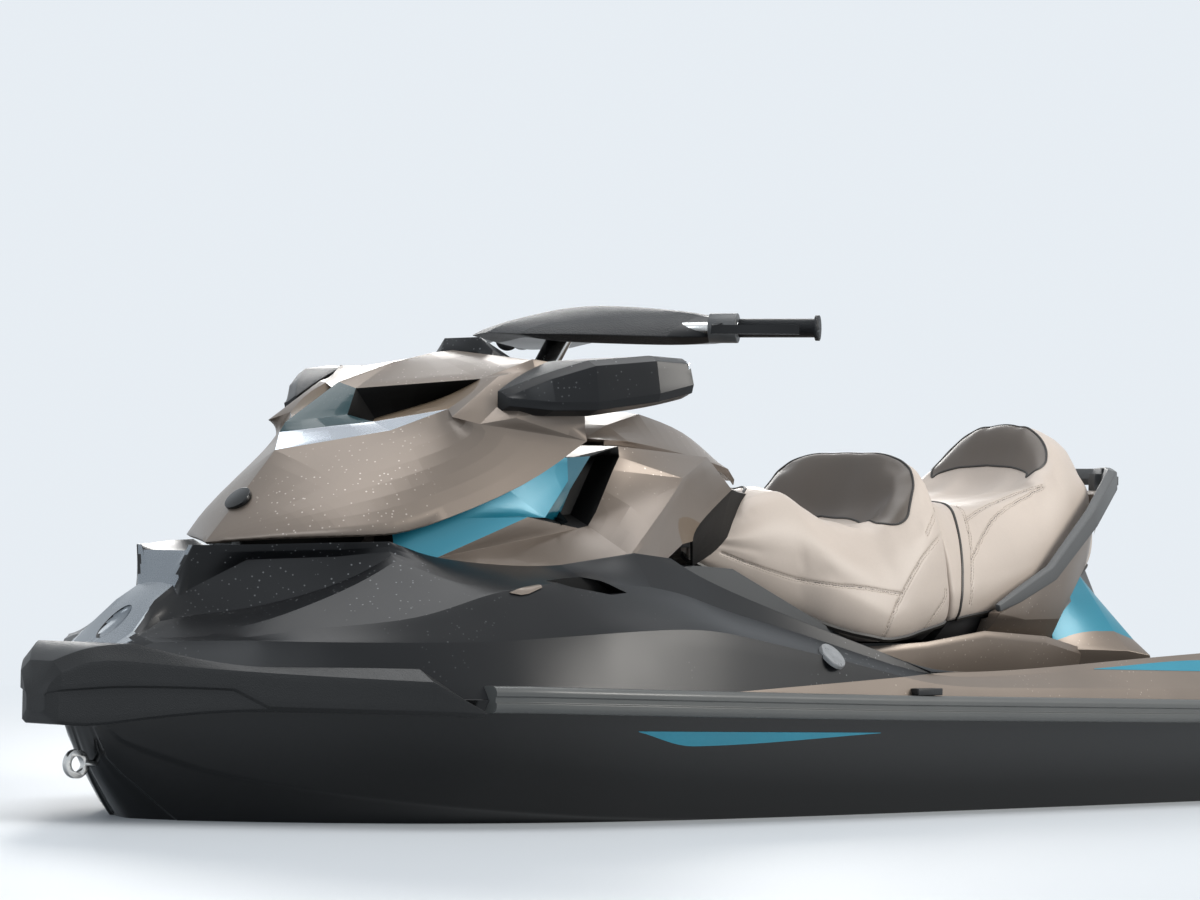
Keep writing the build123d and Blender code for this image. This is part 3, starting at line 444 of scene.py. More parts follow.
looks = {
    # satin bronze and satin black carry painted highlights of water drops as lighter specks
    "satinBronze": dict(colour=(0.175, 0.142, 0.116), rough=0.38, metal=0.5, coat=0.2, coatRough=0.22, fineScale=1400,
                        fineShare=0.5, swing=0.10, bump=0.03, slowScale=4, spots=90,
                        dropGlintColour=(0.42, 0.37, 0.33)),
    # darker copy of the bronze for faces in recesses: painted shade
    "paintedShadeBronze": dict(colour=(0.16, 0.115, 0.075), rough=0.42, metal=0.5, fineScale=900, bump=0.03),
    "glossBlack": dict(colour=(0.005, 0.0055, 0.006), rough=0.2, coat=0.15, coatRough=0.06, specular=0.3,
                       slowScale=3, fineScale=700, bump=0.015),
    "satinBlack": dict(colour=(0.0055, 0.006, 0.007), rough=0.34, specular=0.28, fineScale=900, bump=0.05,
                       slowScale=3, spots=95, dropGlintColour=(0.16, 0.165, 0.17)),
    "mouldedBlack": dict(colour=(0.008, 0.0085, 0.009), rough=0.42, specular=0.35, cells=500, bump=0.5,
                         bumpDepth=0.0006),
    "bowPanel": dict(colour=(0.20, 0.225, 0.25), rough=0.26, metal=0.3, coat=0.6, coatRough=0.06, fineScale=700,
                     bump=0.03),
    # near-black with little shine for recesses, gaps and cavities: painted shade
    "paintedShadeBlack": dict(colour=(0.003, 0.003, 0.003), rough=0.6, specular=0.15, bump=0.05),
    "railGrey": dict(colour=(0.075, 0.078, 0.076), rough=0.40, coat=0.1, bump=0.08, fineScale=500),
    "tealPaint": dict(colour=(0.010, 0.20, 0.29), rough=0.42, metal=0.2, coat=0.2, coatRough=0.2, fineScale=1400,
                      bump=0.02),
    # darker copy of the teal paint for the pocket under the hood: painted shade
    "paintedShadeTeal": dict(colour=(0.006, 0.11, 0.16), rough=0.32, metal=0.25, coat=0.5, coatRough=0.1, fineScale=1400,
                     bump=0.02),
    "seatVinyl": dict(colour=(0.50, 0.43, 0.375), rough=0.44, cells=620, bump=0.20, bumpDepth=0.0003, sheen=0.15,
                      slowScale=7, swing=0.06),
    "bolsterVinyl": dict(colour=(0.085, 0.068, 0.055), rough=0.40, cells=620, bump=0.20, bumpDepth=0.0003, swing=0.10),
    "threadTan": dict(colour=(0.30, 0.24, 0.19), rough=0.6, bump=0.3, fineScale=1200),
    "pipingBlack": dict(colour=(0.02, 0.018, 0.016), rough=0.45, bump=0.2, fineScale=800),
    "padRubber": dict(colour=(0.011, 0.012, 0.0135), rough=0.55, specular=0.35, cells=300, bump=0.6, bumpDepth=0.0012),
    "silverTrim": dict(colour=(0.52, 0.54, 0.57), rough=0.24, metal=0.9, fineScale=900, bump=0.02),
    "smokedGlass": dict(colour=(0.006, 0.035, 0.042), rough=0.24, coat=0.2, specular=0.4, bump=0.01),
    "mirrorGlass": dict(colour=(0.86, 0.88, 0.90), rough=0.03, metal=1.0, bump=0.002, swing=0.01, roughSwing=0.01),
    "stainless": dict(colour=(0.60, 0.60, 0.59), rough=0.24, metal=1.0, fineScale=300, bump=0.03),
    "castAlloy": dict(colour=(0.36, 0.37, 0.38), rough=0.46, metal=0.85, cells=700, bump=0.2, fineScale=200),
    "pumpBlack": dict(colour=(0.022, 0.023, 0.025), rough=0.48, cells=500, bump=0.2),
    "matFoam": dict(colour=(0.040, 0.042, 0.045), rough=0.82, cells=300, bump=0.5, bumpDepth=0.0008),
    "greyPlastic": dict(colour=(0.075, 0.078, 0.080), rough=0.5, cells=700, bump=0.2),
    "engineGrey": dict(colour=(0.10, 0.105, 0.11), rough=0.5, metal=0.4, bump=0.2, fineScale=160),
    "clearDisc": dict(colour=(0.19, 0.195, 0.20), rough=0.3, coat=0.3, coatRough=0.1, swing=0.3,
                      slowScale=60, bump=0.05, fineScale=300),
}
finishes = {name: shaderFor(name, look) for name, look in looks.items()}
print("finishes made")


# Facets: flat or slightly curved panels with crisp, turned edges

def creased(name, mesh, shape):
    # smooths a coarse mesh except along its folds, gives it a wall, and turns the edges over
    across = shape.get("across")
    soft = [Vector(shape["points"][key]) for key in shape.get("soft", ())]
    middle = Vector(shape["middle"]) * mm if "middle" in shape else None
    with meshEdit(mesh) as bm:
        bmesh.ops.recalc_face_normals(bm, faces=bm.faces)
        facing = sum(f.normal.dot(f.calc_center_median() - middle) if middle else f.normal.z for f in bm.faces)
        if facing < 0:
            bmesh.ops.reverse_faces(bm, faces=bm.faces)
        crease = bm.edges.layers.float.new("crease_edge")
        bevel = bm.edges.layers.float.new("bevel_weight_edge")
        for edge in bm.edges:
            along = edge.verts[1].co - edge.verts[0].co
            limit = across if across and abs(along.x) < 0.35 * along.length else shape["fold"]
            if len(edge.link_faces) != 2:
                edge[crease] = 1.0
            elif edge.calc_face_angle(0) > math.radians(limit):
                ends = [Vector((v.co.x, abs(v.co.y), v.co.z)) / mm for v in edge.verts]
                if not any((p - q).length < 0.5 for p in soft for q in ends):
                    edge[crease] = edge[bevel] = 1.0
    made = placed(name + "_cage", mesh)
    smooth = made.modifiers.new("smooth", "SUBSURF")
    smooth.levels = smooth.render_levels = 2
    smooth.boundary_smooth = "PRESERVE_CORNERS"
    if "wall" in shape:
        shell = made.modifiers.new("wall", "SOLIDIFY")
        shell.thickness, shell.offset = shape["wall"] * mm, -1
        shell.use_even_offset = shell.use_quality_normals = True
        shell.thickness_clamp, shell.edge_crease_rim, shell.bevel_convex = 1.2, 1.0, 1.0
    edges = made.modifiers.new("edges", "BEVEL")
    edges.width, edges.segments, edges.limit_method = shape["turn"] * mm, 3, "WEIGHT"
    return shaded(plainMesh(made, name), 40)


def facetted(name, shape):
    # points by name, panels as (names in order, finish number); port side, with its starboard twin
    keys = list(shape["points"])
    panels = [tuple(keys.index(key) for key in corners.split()) for corners, _ in shape["panels"]]
    mesh = newMesh(name, shape["points"].values(), panels)
    dress(mesh, *shape["finishes"])
    mesh.polygons.foreach_set("material_index", [mark for _, mark in shape["panels"]])
    with meshEdit(mesh) as bm:
        addTwin(bm)
        bmesh.ops.remove_doubles(bm, verts=bm.verts, dist=0.2 * mm)
    return creased(name, mesh, shape)


def gridPiece(name, rows, halfOf, shape, closed=True):
    # creased piece over the symmetrical sections of table rows
    rings = [[(row[0], y, z) for y, z in bothSides(halfOf(row))] for row in rows]
    mesh = newMesh(name, [p for ring in rings for p in ring], ringFaces(len(rings), len(rings[0]), closed))
    with meshEdit(mesh) as bm:
        bmesh.ops.remove_doubles(bm, verts=bm.verts, dist=0.2 * mm)
    return creased(name, mesh, shape)


# Hull

hull = {
    # x, keel z, strake y, strake z, chine y, chine z, bond y
    "lines": [(1550, 152, 26, 154, 48, 160, 62), (1524, 92, 30, 104, 66, 132, 100), (1480, 30, 52, 60, 104, 108, 166),
              (1400, -55, 88, -10, 180, 76, 270), (1250, -145, 135, -85, 305, 46, 420),
              (1050, -205, 170, -125, 405, 22, 530), (700, -252, 200, -155, 478, 0, 586),
              (200, -270, 215, -168, 505, -15, 597), (-400, -270, 220, -170, 512, -22, 597),
              (-1000, -270, 220, -170, 512, -25, 592), (-1500, -270, 220, -170, 505, -25, 572)],
    # radii of the corners and crowns of the panels, from the keel to the top centre
    "radii": [26, 4, 4, 7, 8, 2, 1], "crowns": [2, 0, 2, 0, 5, 0, 0], "step": 9, "seam": 0.15,
    "bay": ((-650, -80), (-175, 175), (-140, 400)),
    "tunnel": {"half": 115, "front": -1020, "end": -1550, "z": -150, "below": -400,
               "intake": [(-1021, -90), (-1021, -400), (-640, -400)], "intakeY": (-90, 90)},
    "store": ((760, 1190), (-165, 165), (130, 900)),
    "stripe": [(810, 156, 157), (678, 130, 155), (228, 147, 148)],
}
bondLine = [(-1800, 158), (200, 192), (1050, 211), (1700, 211)]


def bondZ(x):
    return float(np.interp(x, *zip(*bondLine)))


def hullRing(row):
    x, keel, sy, sz, cy, cz, by = row
    step = min(hull["step"], sy * 0.2)
    top = bondZ(x) - hull["seam"]
    half = [(0, keel), (sy, sz), (sy + step, sz - step * 0.5), (cy, cz), (cy + step, cz + step * 0.6),
            (by, top), (0, top)]
    radii, crowns = hull["radii"], hull["crowns"]
    return roundedRing(bothSides(half), radii + radii[-2:0:-1], crowns + crowns[::-1])


def circleOf(radius, sides):
    return [(radius * math.cos(2 * math.pi * i / sides), radius * math.sin(2 * math.pi * i / sides))
            for i in range(sides)]


# Footwell: x, inner y, outer floor y, floor z, outer top y
footwell = {
    "lines": [(500, 300, 350, 380, 404), (430, 250, 402, 190, 440), (320, 200, 440, 120, 470), (60, 200, 490, 108, 526),
              (-400, 200, 486, 108, 520), (-760, 200, 470, 123, 500), (-960, 220, 462, 216, 494)],
    "wall": 6, "flare": 14, "seam": 0.3, "top": 215, "tub": (-800, 440), "above": 700,
}


def footwellTub(side, grow=0):
    wall, top = footwell["wall"] + grow, footwell["top"]
    back, front = footwell["tub"]
    return sideSolid([(x, [(side * (yi - wall), floor - wall), (side * (yo + wall), floor - wall),
                           (side * (yo + footwell["flare"] + grow), top), (side * (yi - wall), top)])
                      for x, yi, yo, floor, _ in footwell["lines"] if back < x < front])


def footwellRoom(side):
    above = footwell["above"]
    return sideSolid([(x, [(side * yi, floor), (side * yo, floor), (side * yt, above), (side * yi, above)])
                      for x, yi, yo, floor, yt in denseRows(footwell["lines"], 60)])


tunnel = hull["tunnel"]
front, end, half, height = (tunnel[key] for key in ("front", "end", "half", "z"))
bore = [[(x, -a, height + b) for a, b in circleOf(half, 48)] for x in (front, end)]
hullPiece = lofted("hull_moulding", hull["lines"], hullRing, 24)
carve(hullPiece, [boxSolid(*hull["bay"]), boxSolid(*hull["store"]), footwellTub(1, footwell["seam"]),
                  footwellTub(-1, footwell["seam"]), meshFrom("cutter", bore),
                  boxSolid((end, front), (-half, half), (tunnel["below"], height)),
                  prismSolid(tunnel["intake"], tunnel["intakeY"])])
fit(hullPiece, "craft", "glossBlack", ["hull"])


def skinOf(made):
    # outer face of a piece on the port side at an x and a height
    tree = surfaceOf(made)

    def yAt(x, z):
        hit = tree.ray_cast(Vector((x, 900, z)) * mm, Vector((0, -1, 0)))[0]
        return hit.y / mm if hit else 500.0
    return yAt


def decal(name, outline, rows, finish, yAt, proud=0.6):
    # thin coloured film on both sides of the craft: outline as (x, low z, high z) along x
    rings = []
    for x, low, high in denseRows(outline, 16):
        heights = [low + (high - low) * i / rows for i in range(rows + 1)]
        outside = [Vector((x, yAt(x, z) + proud, z)) for z in heights]
        rings.append(outside + [p - Vector((0, proud + 1.5, 0)) for p in outside[::-1]])
    fit(withTwin(meshFrom(name, rings)), "craft", finish)


decal("hull_stripe", hull["stripe"], 6, "tealPaint", skinOf(hullPiece))
print("hull made")


# Deck

deck = {
    # front rows, with the lip that the hood closes on: x, bond y, side crease y z, low crease y z, high crease y z,
    # recess foot y z, recess top y z, lip underside y z, lip edge y z, inner edge y z, pedestal y z, centre z
    "front": [
        (1545, 74, 66, 272, 63, 275, 60, 276, 58, 277, 56, 278, 54, 279, 52, 280, 30, 281, 10, 281, 281),
        (1500, 148, 118, 294, 104, 298, 94, 301, 80, 304, 76, 306, 70, 309, 64, 312, 32, 314, 12, 315, 315),
        (1445, 220, 176, 299, 158, 301, 138, 303, 66, 328, 60, 344, 54, 355, 50, 362, 30, 364, 12, 365, 365),
        (1402, 268, 232, 300, 208, 304, 178, 308, 80, 336, 60, 366, 50, 380, 46, 388, 30, 390, 14, 392, 392),
        (1384, 284, 252, 300, 222, 306, 190, 316, 86, 340, 62, 380, 72, 442, 75, 455, 62, 455, 58, 446, 446),
        (1300, 374, 330, 300, 292, 322, 243, 350, 142, 352, 112, 432, 134, 446, 140, 458, 124, 446, 60, 446, 446),
        (1184, 468, 414, 301, 386, 336, 274, 398, 232, 396, 208, 440, 222, 452, 228, 464, 208, 446, 90, 446, 446),
        (1110, 506, 452, 303, 408, 358, 276, 436, 262, 444, 256, 450, 254, 458, 256, 467, 238, 446, 120, 446, 446)],
    # x, bond y, side crease y z, low crease y z, gunwale edge y z, inner edge y z, pedestal y z, centre z
    "rows": [
        (1057, 528, 474, 305, 420, 376, 270, 450, 250, 434, 130, 440, 444),
        (1016, 540, 488, 308, 432, 388, 286, 438, 268, 422, 140, 436, 440),
        (880, 568, 524, 318, 456, 408, 334, 428, 314, 412, 160, 430, 432),
        (830, 574, 534, 322, 458, 404, 380, 433, 350, 416, 170, 428, 430),
        (680, 588, 552, 330, 450, 398, 408, 456, 384, 440, 180, 430, 430),
        (600, 591, 560, 322, 462, 386, 420, 448, 394, 434, 190, 430, 430),
        (540, 592, 564, 312, 474, 362, 440, 411, 412, 398, 195, 430, 430),
        (360, 595, 574, 282, 512, 320, 500, 344, 470, 334, 200, 440, 440),
        (210, 597, 580, 254, 552, 276, 546, 295, 512, 287, 200, 432, 432),
        (80, 597, 586, 228, 576, 244, 572, 254, 528, 250, 200, 380, 380),
        (-130, 597, 586, 224, 562, 242, 556, 252, 520, 244, 200, 296, 296),
        (-500, 597, 584, 222, 558, 262, 548, 274, 508, 262, 200, 296, 296),
        (-860, 595, 580, 218, 548, 280, 540, 292, 500, 276, 200, 296, 296),
        (-960, 594, 578, 217, 544, 281, 536, 293, 496, 276, 420, 215, 215),
        (-1200, 586, 572, 214, 532, 275, 524, 286, 488, 262, 420, 215, 215),
        (-1450, 574, 560, 210, 520, 250, 512, 262, 478, 236, 410, 215, 215),
        (-1600, 548, 534, 206, 494, 220, 486, 226, 460, 218, 400, 215, 215),
        (-1690, 470, 458, 196, 436, 204, 430, 208, 410, 213, 380, 215, 215)],
    "fold": 5, "across": 14, "turn": 3.5, "middle": (0, 0, 215),
    "finishes": ("satinBlack", "satinBronze", "greyPlastic", "bowPanel", "paintedShadeBlack"),
    # where each finish lies: the split runs up the side as (x, z), the rest as x or z and the y there
    "split": ((612, 222), (36, 253)), "platform": -960, "inside": (500, 190), "bow": (1380, 283),
    "gunwale": ((-1690, -960, 80, 360, 473, 540), (412, 498, 530, 498, 458, 436)),
    "bowPanel": ((281, 354, 425, 455), (78, 52, 50, 76)), "slot": ((750, 930), (384, 425)),
    # openings and marks
    "hingeWell": ((1350, -56), (1350, 56), (1232, 92), (1232, -92)), "wellHeights": (424, 520),
    "dish": {"centre": (1490, 0, 326), "radii": (46, 22, 11), "slope": 35},
    "vent": [(925, 409), (900, 425), (800, 408), (757, 388), (800, 384), (880, 396)],
    "ventDepth": (432, 520),
    "stripe": [(-400, 257, 258), (-738, 252, 273), (-1160, 244, 268), (-1440, 226, 244)],
    "wedge": [(1002, 385, 386), (985, 382, 392), (940, 395, 400)],
    "disc": {"place": (345, 282), "radius": 29, "height": 5},
}


def deckHalf(row):
    low = bondZ(row[0]) + hull["seam"]
    if len(row) > 15:
        return [(0, low), (row[1], low)] + [(row[i], row[i + 1]) for i in range(2, 20, 2)] + [(0, row[-1])]
    x, by, cy, cz, wy, wz, ey, ez, iy, iz, py, pz, mid = row
    between = [(wy + (ey - wy) * t, wz + (ez - wz) * t) for t in (0, 0.2, 0.4, 0.6, 0.8, 1)]
    return [(0, low), (by, low), (cy, cz)] + between + [(iy, iz), (py, pz), (0, mid)]


def ovalSolid(centre, radii, slope):
    # closed ellipsoid, tipped about the y axis
    a, b, c = radii
    tip = Matrix.Rotation(math.radians(slope), 3, "Y")
    rings = []
    for i in range(1, 14):
        lat = math.pi * i / 14
        rings.append([Vector(centre) + tip @ Vector((a * math.sin(lat) * x, b * math.sin(lat) * y, c * math.cos(lat)))
                      for x, y in circleOf(1, 32)])
    return meshFrom("cutter", rings)


deckRows = deck["front"] + deck["rows"]
deckPiece = gridPiece("deck_moulding", deckRows, deckHalf, deck)
carve(deckPiece, [footwellTub(1), footwellTub(-1)], "UNION")
near, far = deck["ventDepth"]
well = [[(x, y, z) for x, y in deck["hingeWell"]] for z in deck["wellHeights"]]
carve(deckPiece, [footwellRoom(1), footwellRoom(-1), meshFrom("cutter", well),
                  boxSolid(hull["bay"][0], hull["bay"][1], (100, 500)), boxSolid(*hull["store"]),
                  ovalSolid(**deck["dish"]),
                  prismSolid(deck["vent"], (near, far)), prismSolid(deck["vent"], (-far, -near))])
(ax, az), (bx, bz) = deck["split"]
cut = Vector((bz - az, 0, ax - bx)).normalized()


def deckFinish(c, n):
    # finish number of a face from its middle and its normal
    y = abs(c.y)
    outside = y > np.interp(c.x, *deck["gunwale"]) or c.x < deck["platform"]
    bowX, bowZ = deck["bow"]
    if c.x > bowX and c.z > bowZ and n.x > 0.3 and y < np.interp(c.z, *deck["bowPanel"]):
        return 3
    # the vent slot's inner faces get the near-black: painted shade
    (back, front), (low, high) = deck["slot"]
    if back < c.x < front and low < c.z < high and abs(y - near) < 2 and n.z < 0.2 and abs(n.y) > 0.7:
        return 4
    if outside and c.x < ax and (c - Vector((ax, 0, az))).dot(cut) < 0:
        return 1
    insideX, insideY = deck["inside"]
    return 2 if y > insideY and c.x < insideX and not outside else 0


dress(deckPiece.data, *deck["finishes"])
with meshEdit(deckPiece.data) as bm:
    bmesh.ops.bisect_plane(bm, geom=bm.verts[:] + bm.edges[:] + bm.faces[:], plane_co=Vector((ax, 0, az)) * mm,
                           plane_no=cut)
    for face in bm.faces:
        face.material_index = deckFinish(face.calc_center_median() / mm, face.normal)
deckPiece.data.set_sharp_from_angle(angle=math.radians(sharpAngle))
fit(deckPiece, "craft", None, ["deck"])
deckSide = skinOf(deckPiece)
decal("gunwale_stripe", deck["stripe"], 4, "tealPaint", deckSide)
decal("vent_wedge", deck["wedge"], 3, "satinBronze", deckSide, proud=3)


def sideDisc(name, place, radius, height, yAt):
    # domed round disc lying on the craft's side
    def slopeOf(a, b):
        return (Vector((a[0], yAt(*a), a[1])) - Vector((b[0], yAt(*b), b[1]))).normalized()

    x, z = place
    spot = Vector((x, yAt(x, z), z))
    along, rise = slopeOf((x + 20, z), (x - 20, z)), slopeOf((x, z + 15), (x, z - 15))
    out = rise.cross(along).normalized()
    out = out if out.y > 0 else -out
    profile = [(1.0, -3), (1.0, 0.55), (0.95, 0.9), (0.88, 0.8), (0.6, 0.94), (0.3, 1.0), (0.05, 1.02)]
    rings = [[spot + (along * a + rise * b) * radius * r + out * (height * h if h > 0 else h)
              for a, b in circleOf(1, 48)] for r, h in profile]
    return withTwin(meshFrom(name, rings))


fit(sideDisc("side_disc", yAt=deckSide, **deck["disc"]), "craft", "clearDisc")
print("deck made")


# Rub rail and bow bumper

rail = {"height": 44, "depth": 18, "front": 1112, "back": -1690}


def railOutline(row):
    x, by = row
    low, high = bondZ(x) - rail["height"] / 2, bondZ(x) + rail["height"] / 2
    deep = by + rail["depth"]
    corners = [(by - 12, low), (deep - 6, low), (deep, low + 8), (deep, low + 16), (deep - 3, low + 18),
               (deep - 3, high - 18), (deep, high - 16), (deep, high - 8), (deep - 6, high), (by - 12, high)]
    return roundedRing(corners, [1, 4, 3, 1, 1, 1, 1, 3, 4, 1], [0] * 10)


railRows = [row[:2] for row in deckRows if rail["front"] >= row[0] > rail["back"]]
fit(withTwin(lofted("rub_rails", railRows, railOutline, 40)), "craft", "railGrey", ["rub_rail"])

bumper = {
    # x, outer y, low z, step z, outer top z, inner top y z
    "lines": [(1648, 30, 178, 208, 222, 10, 230), (1638, 54, 160, 212, 244, 30, 262),
              (1612, 84, 156, 216, 262, 60, 280), (1580, 116, 160, 220, 266, 90, 290),
              (1545, 150, 168, 221, 262, 128, 292), (1490, 207, 178, 221, 256, 190, 272),
              (1440, 256, 184, 219, 252, 240, 262), (1400, 296, 186, 191, 249, 276, 257),
              (1300, 393, 185, 189, 243, 360, 260), (1205, 474, 184, 188, 239, 440, 259),
              (1180, 492, 183, 187, 222, 466, 236), (1128, 522, 180, 184, 190, 500, 193)],
    "fold": 9, "across": 18, "turn": 3, "middle": (1300, 0, 215),
}


def bumperHalf(row):
    x, y, low, step, top, iy, iz = row
    return [(0, low), (y - 14, low), (y - 6, low + 5), (y - 6, step), (y, step + 4), (y, top), (iy, iz), (0, iz)]


fit(gridPiece("bow_bumper_moulding", bumper["lines"], bumperHalf, bumper), "craft", "mouldedBlack", ["bow_bumper"])
print("rails and bumper made")


# Console, side panels and glovebox lid

console = {
    "fold": 6, "turn": 3.0, "wall": 5,
    "finishes": ("satinBronze", "tealPaint", "paintedShadeBronze", "paintedShadeBlack", "paintedShadeTeal"),
    "points": {
        "wedge0": (1002, 256, 441), "footA": (981, 282, 431), "footB": (860, 332, 421), "foot4": (811, 360, 428),
        "foot3": (681, 400, 452), "foot5": (619, 386, 444), "foot6": (535, 346, 446), "foot7": (464, 316, 474),
        "notch": (392, 272, 480), "wedge1": (831, 300, 514), "wedge2": (719, 310, 497), "pocket1": (685, 300, 502),
        "pocket2": (661, 295, 527), "pocket3": (606, 280, 601), "a0": (584, 270, 644), "a1": (586, 275, 625),
        "a2": (325, 240, 633), "a3": (460, 310, 591), "c4": (513, 336, 556), "c3": (507, 330, 530),
        "c2": (400, 282, 505), "c1": (205, 190, 577), "rear1": (322, 206, 436), "rear2": (205, 158, 464),
        "rear3": (110, 108, 510), "tail1": (112, 122, 574), "tail2": (20, 66, 572), "tail3": (20, 50, 560),
        "top1": (584, 0, 650), "top2": (325, 0, 640), "top3": (120, 0, 600), "top4": (20, 0, 586),
        "front1": (735, 262, 612), "front2": (735, 0, 624), "low1": (1002, 170, 431), "low2": (760, 170, 421),
        "teal0": (729, 290, 619), "teal1": (663, 280, 624), "teal2": (726, 290, 579), "teal3": (785, 295, 514),
        "teal4": (741, 280, 509), "teal5": (716, 285, 564), "panel0": (1070, 225, 448), "panel1": (1062, 206, 505),
        "panel2": (905, 256, 596), "panel3": (800, 272, 628), "deep1": (660, 226, 612), "deep2": (588, 222, 632),
        "deep3": (668, 238, 522), "deep4": (734, 234, 517), "in1": (1062, 170, 505), "in2": (905, 170, 596),
        "in3": (762, 170, 618), "in0": (1070, 170, 448), "inFront": (735, 170, 618),
    },
    "panels": [
        ("wedge0 wedge2 wedge1", 0), ("wedge0 footA footB foot4 wedge2", 0),
        ("wedge2 foot4 foot3 pocket1", 0), ("pocket1 foot3 c4 a3 pocket3 pocket2", 0), ("pocket3 a3 a1", 0),
        ("a0 a1 a3 a2", 0), ("a2 a3 c4 c3 c2 c1", 0), ("c4 foot3 foot5 foot6 foot7 c3", 0),
        # the notch gets the darker bronze, and the rear walls under the side the near-black: painted shade
        ("c3 foot7 notch c2", 2), ("c1 c2 notch rear1 rear2", 3), ("c1 rear2 rear3 tail3 tail2 tail1", 3),
        ("a0 a2 top2 top1", 0), ("a2 c1 tail1 tail2 top4 top3 top2", 0), ("front1 a0 top1 front2", 0),
        # the faces round the deep recess under the hood get the near-black: painted shade
        ("teal0 panel3 front1 teal1", 3), ("teal1 front1 a0", 3),
        ("teal1 teal5 teal4 deep4 deep1", 3), ("teal4 teal3 wedge1 wedge2 pocket1 deep3 deep4", 3),
        ("pocket1 pocket2 pocket3 a1 deep2 deep3", 3), ("a1 a0 teal1 deep1 deep2", 3), ("deep1 deep4 deep3 deep2", 3),
        ("panel0 wedge0 wedge1 panel1", 1), ("panel1 wedge1 teal3 panel2", 1), ("panel2 teal3 teal2 teal0 panel3", 1),
        # the pocket's inner faces get the darker teal: painted shade
        ("teal0 teal1 teal5 teal2", 4), ("teal2 teal5 teal4 teal3", 4),
        # the inner walls behind the teal panels get the near-black: painted shade
        ("panel0 panel1 in1 in0", 3), ("panel1 panel2 in2 in1", 3), ("panel2 panel3 in3 in2", 3),
        ("panel3 front1 inFront in3", 3), ("in1 in2 low2 low1 in0", 3), ("in2 in3 low2", 3),
    ],
    "glove": ((239.7, 506.3), (-120.3, 120.3), (560, 900)),
}
consolePiece = facetted("console_moulding", console)
carve(consolePiece, [boxSolid(*console["glove"])])
fit(consolePiece, "craft", None, ["console", "cowl_panels"])

lid = {
    # x, edge y z, shoulder y z, centre z
    "lines": [(540, 190, 648, 140, 660, 664), (490, 200, 646, 146, 686, 692), (400, 192, 638, 138, 709, 721),
              (250, 158, 622, 110, 686, 702), (121, 98, 608, 68, 632, 646), (52, 50, 590, 34, 602, 608)],
    "wall": 5, "fold": 18, "turn": 4, "band": 10,
    # boxes around the part of the CAD lid that isn't its hinge sleeve
    "rest": [((-100, 505), (-300, 300), (500, 900)), ((543, 700), (-300, 300), (500, 900)),
             ((400, 700), (62, 300), (500, 900)), ((400, 700), (-300, -62), (500, 900))],
}


def lidHalf(row):
    x, ey, ez, sy, sz, mid = row
    return [(ey, ez), (ey + 2, ez + lid["band"]), (sy, sz), (0, mid)]


def withSleeve(made, node, boxes, finish):
    # adds the part of a CAD node that its hinge turns on
    sleeve = carve(softened(node, 0.4, 1), [boxSolid(*box) for box in boxes])
    dress(sleeve.data, finish)
    return joined(made.name, [made, sleeve])


lidPiece = gridPiece("glovebox_lid_moulding", lid["lines"], lidHalf, lid, closed=False)
fit(withSleeve(lidPiece, "glovebox_lid", lid["rest"], "satinBronze"), "glovebox_lid", "satinBronze", ["glovebox_lid"])
print("console made")


# Hood

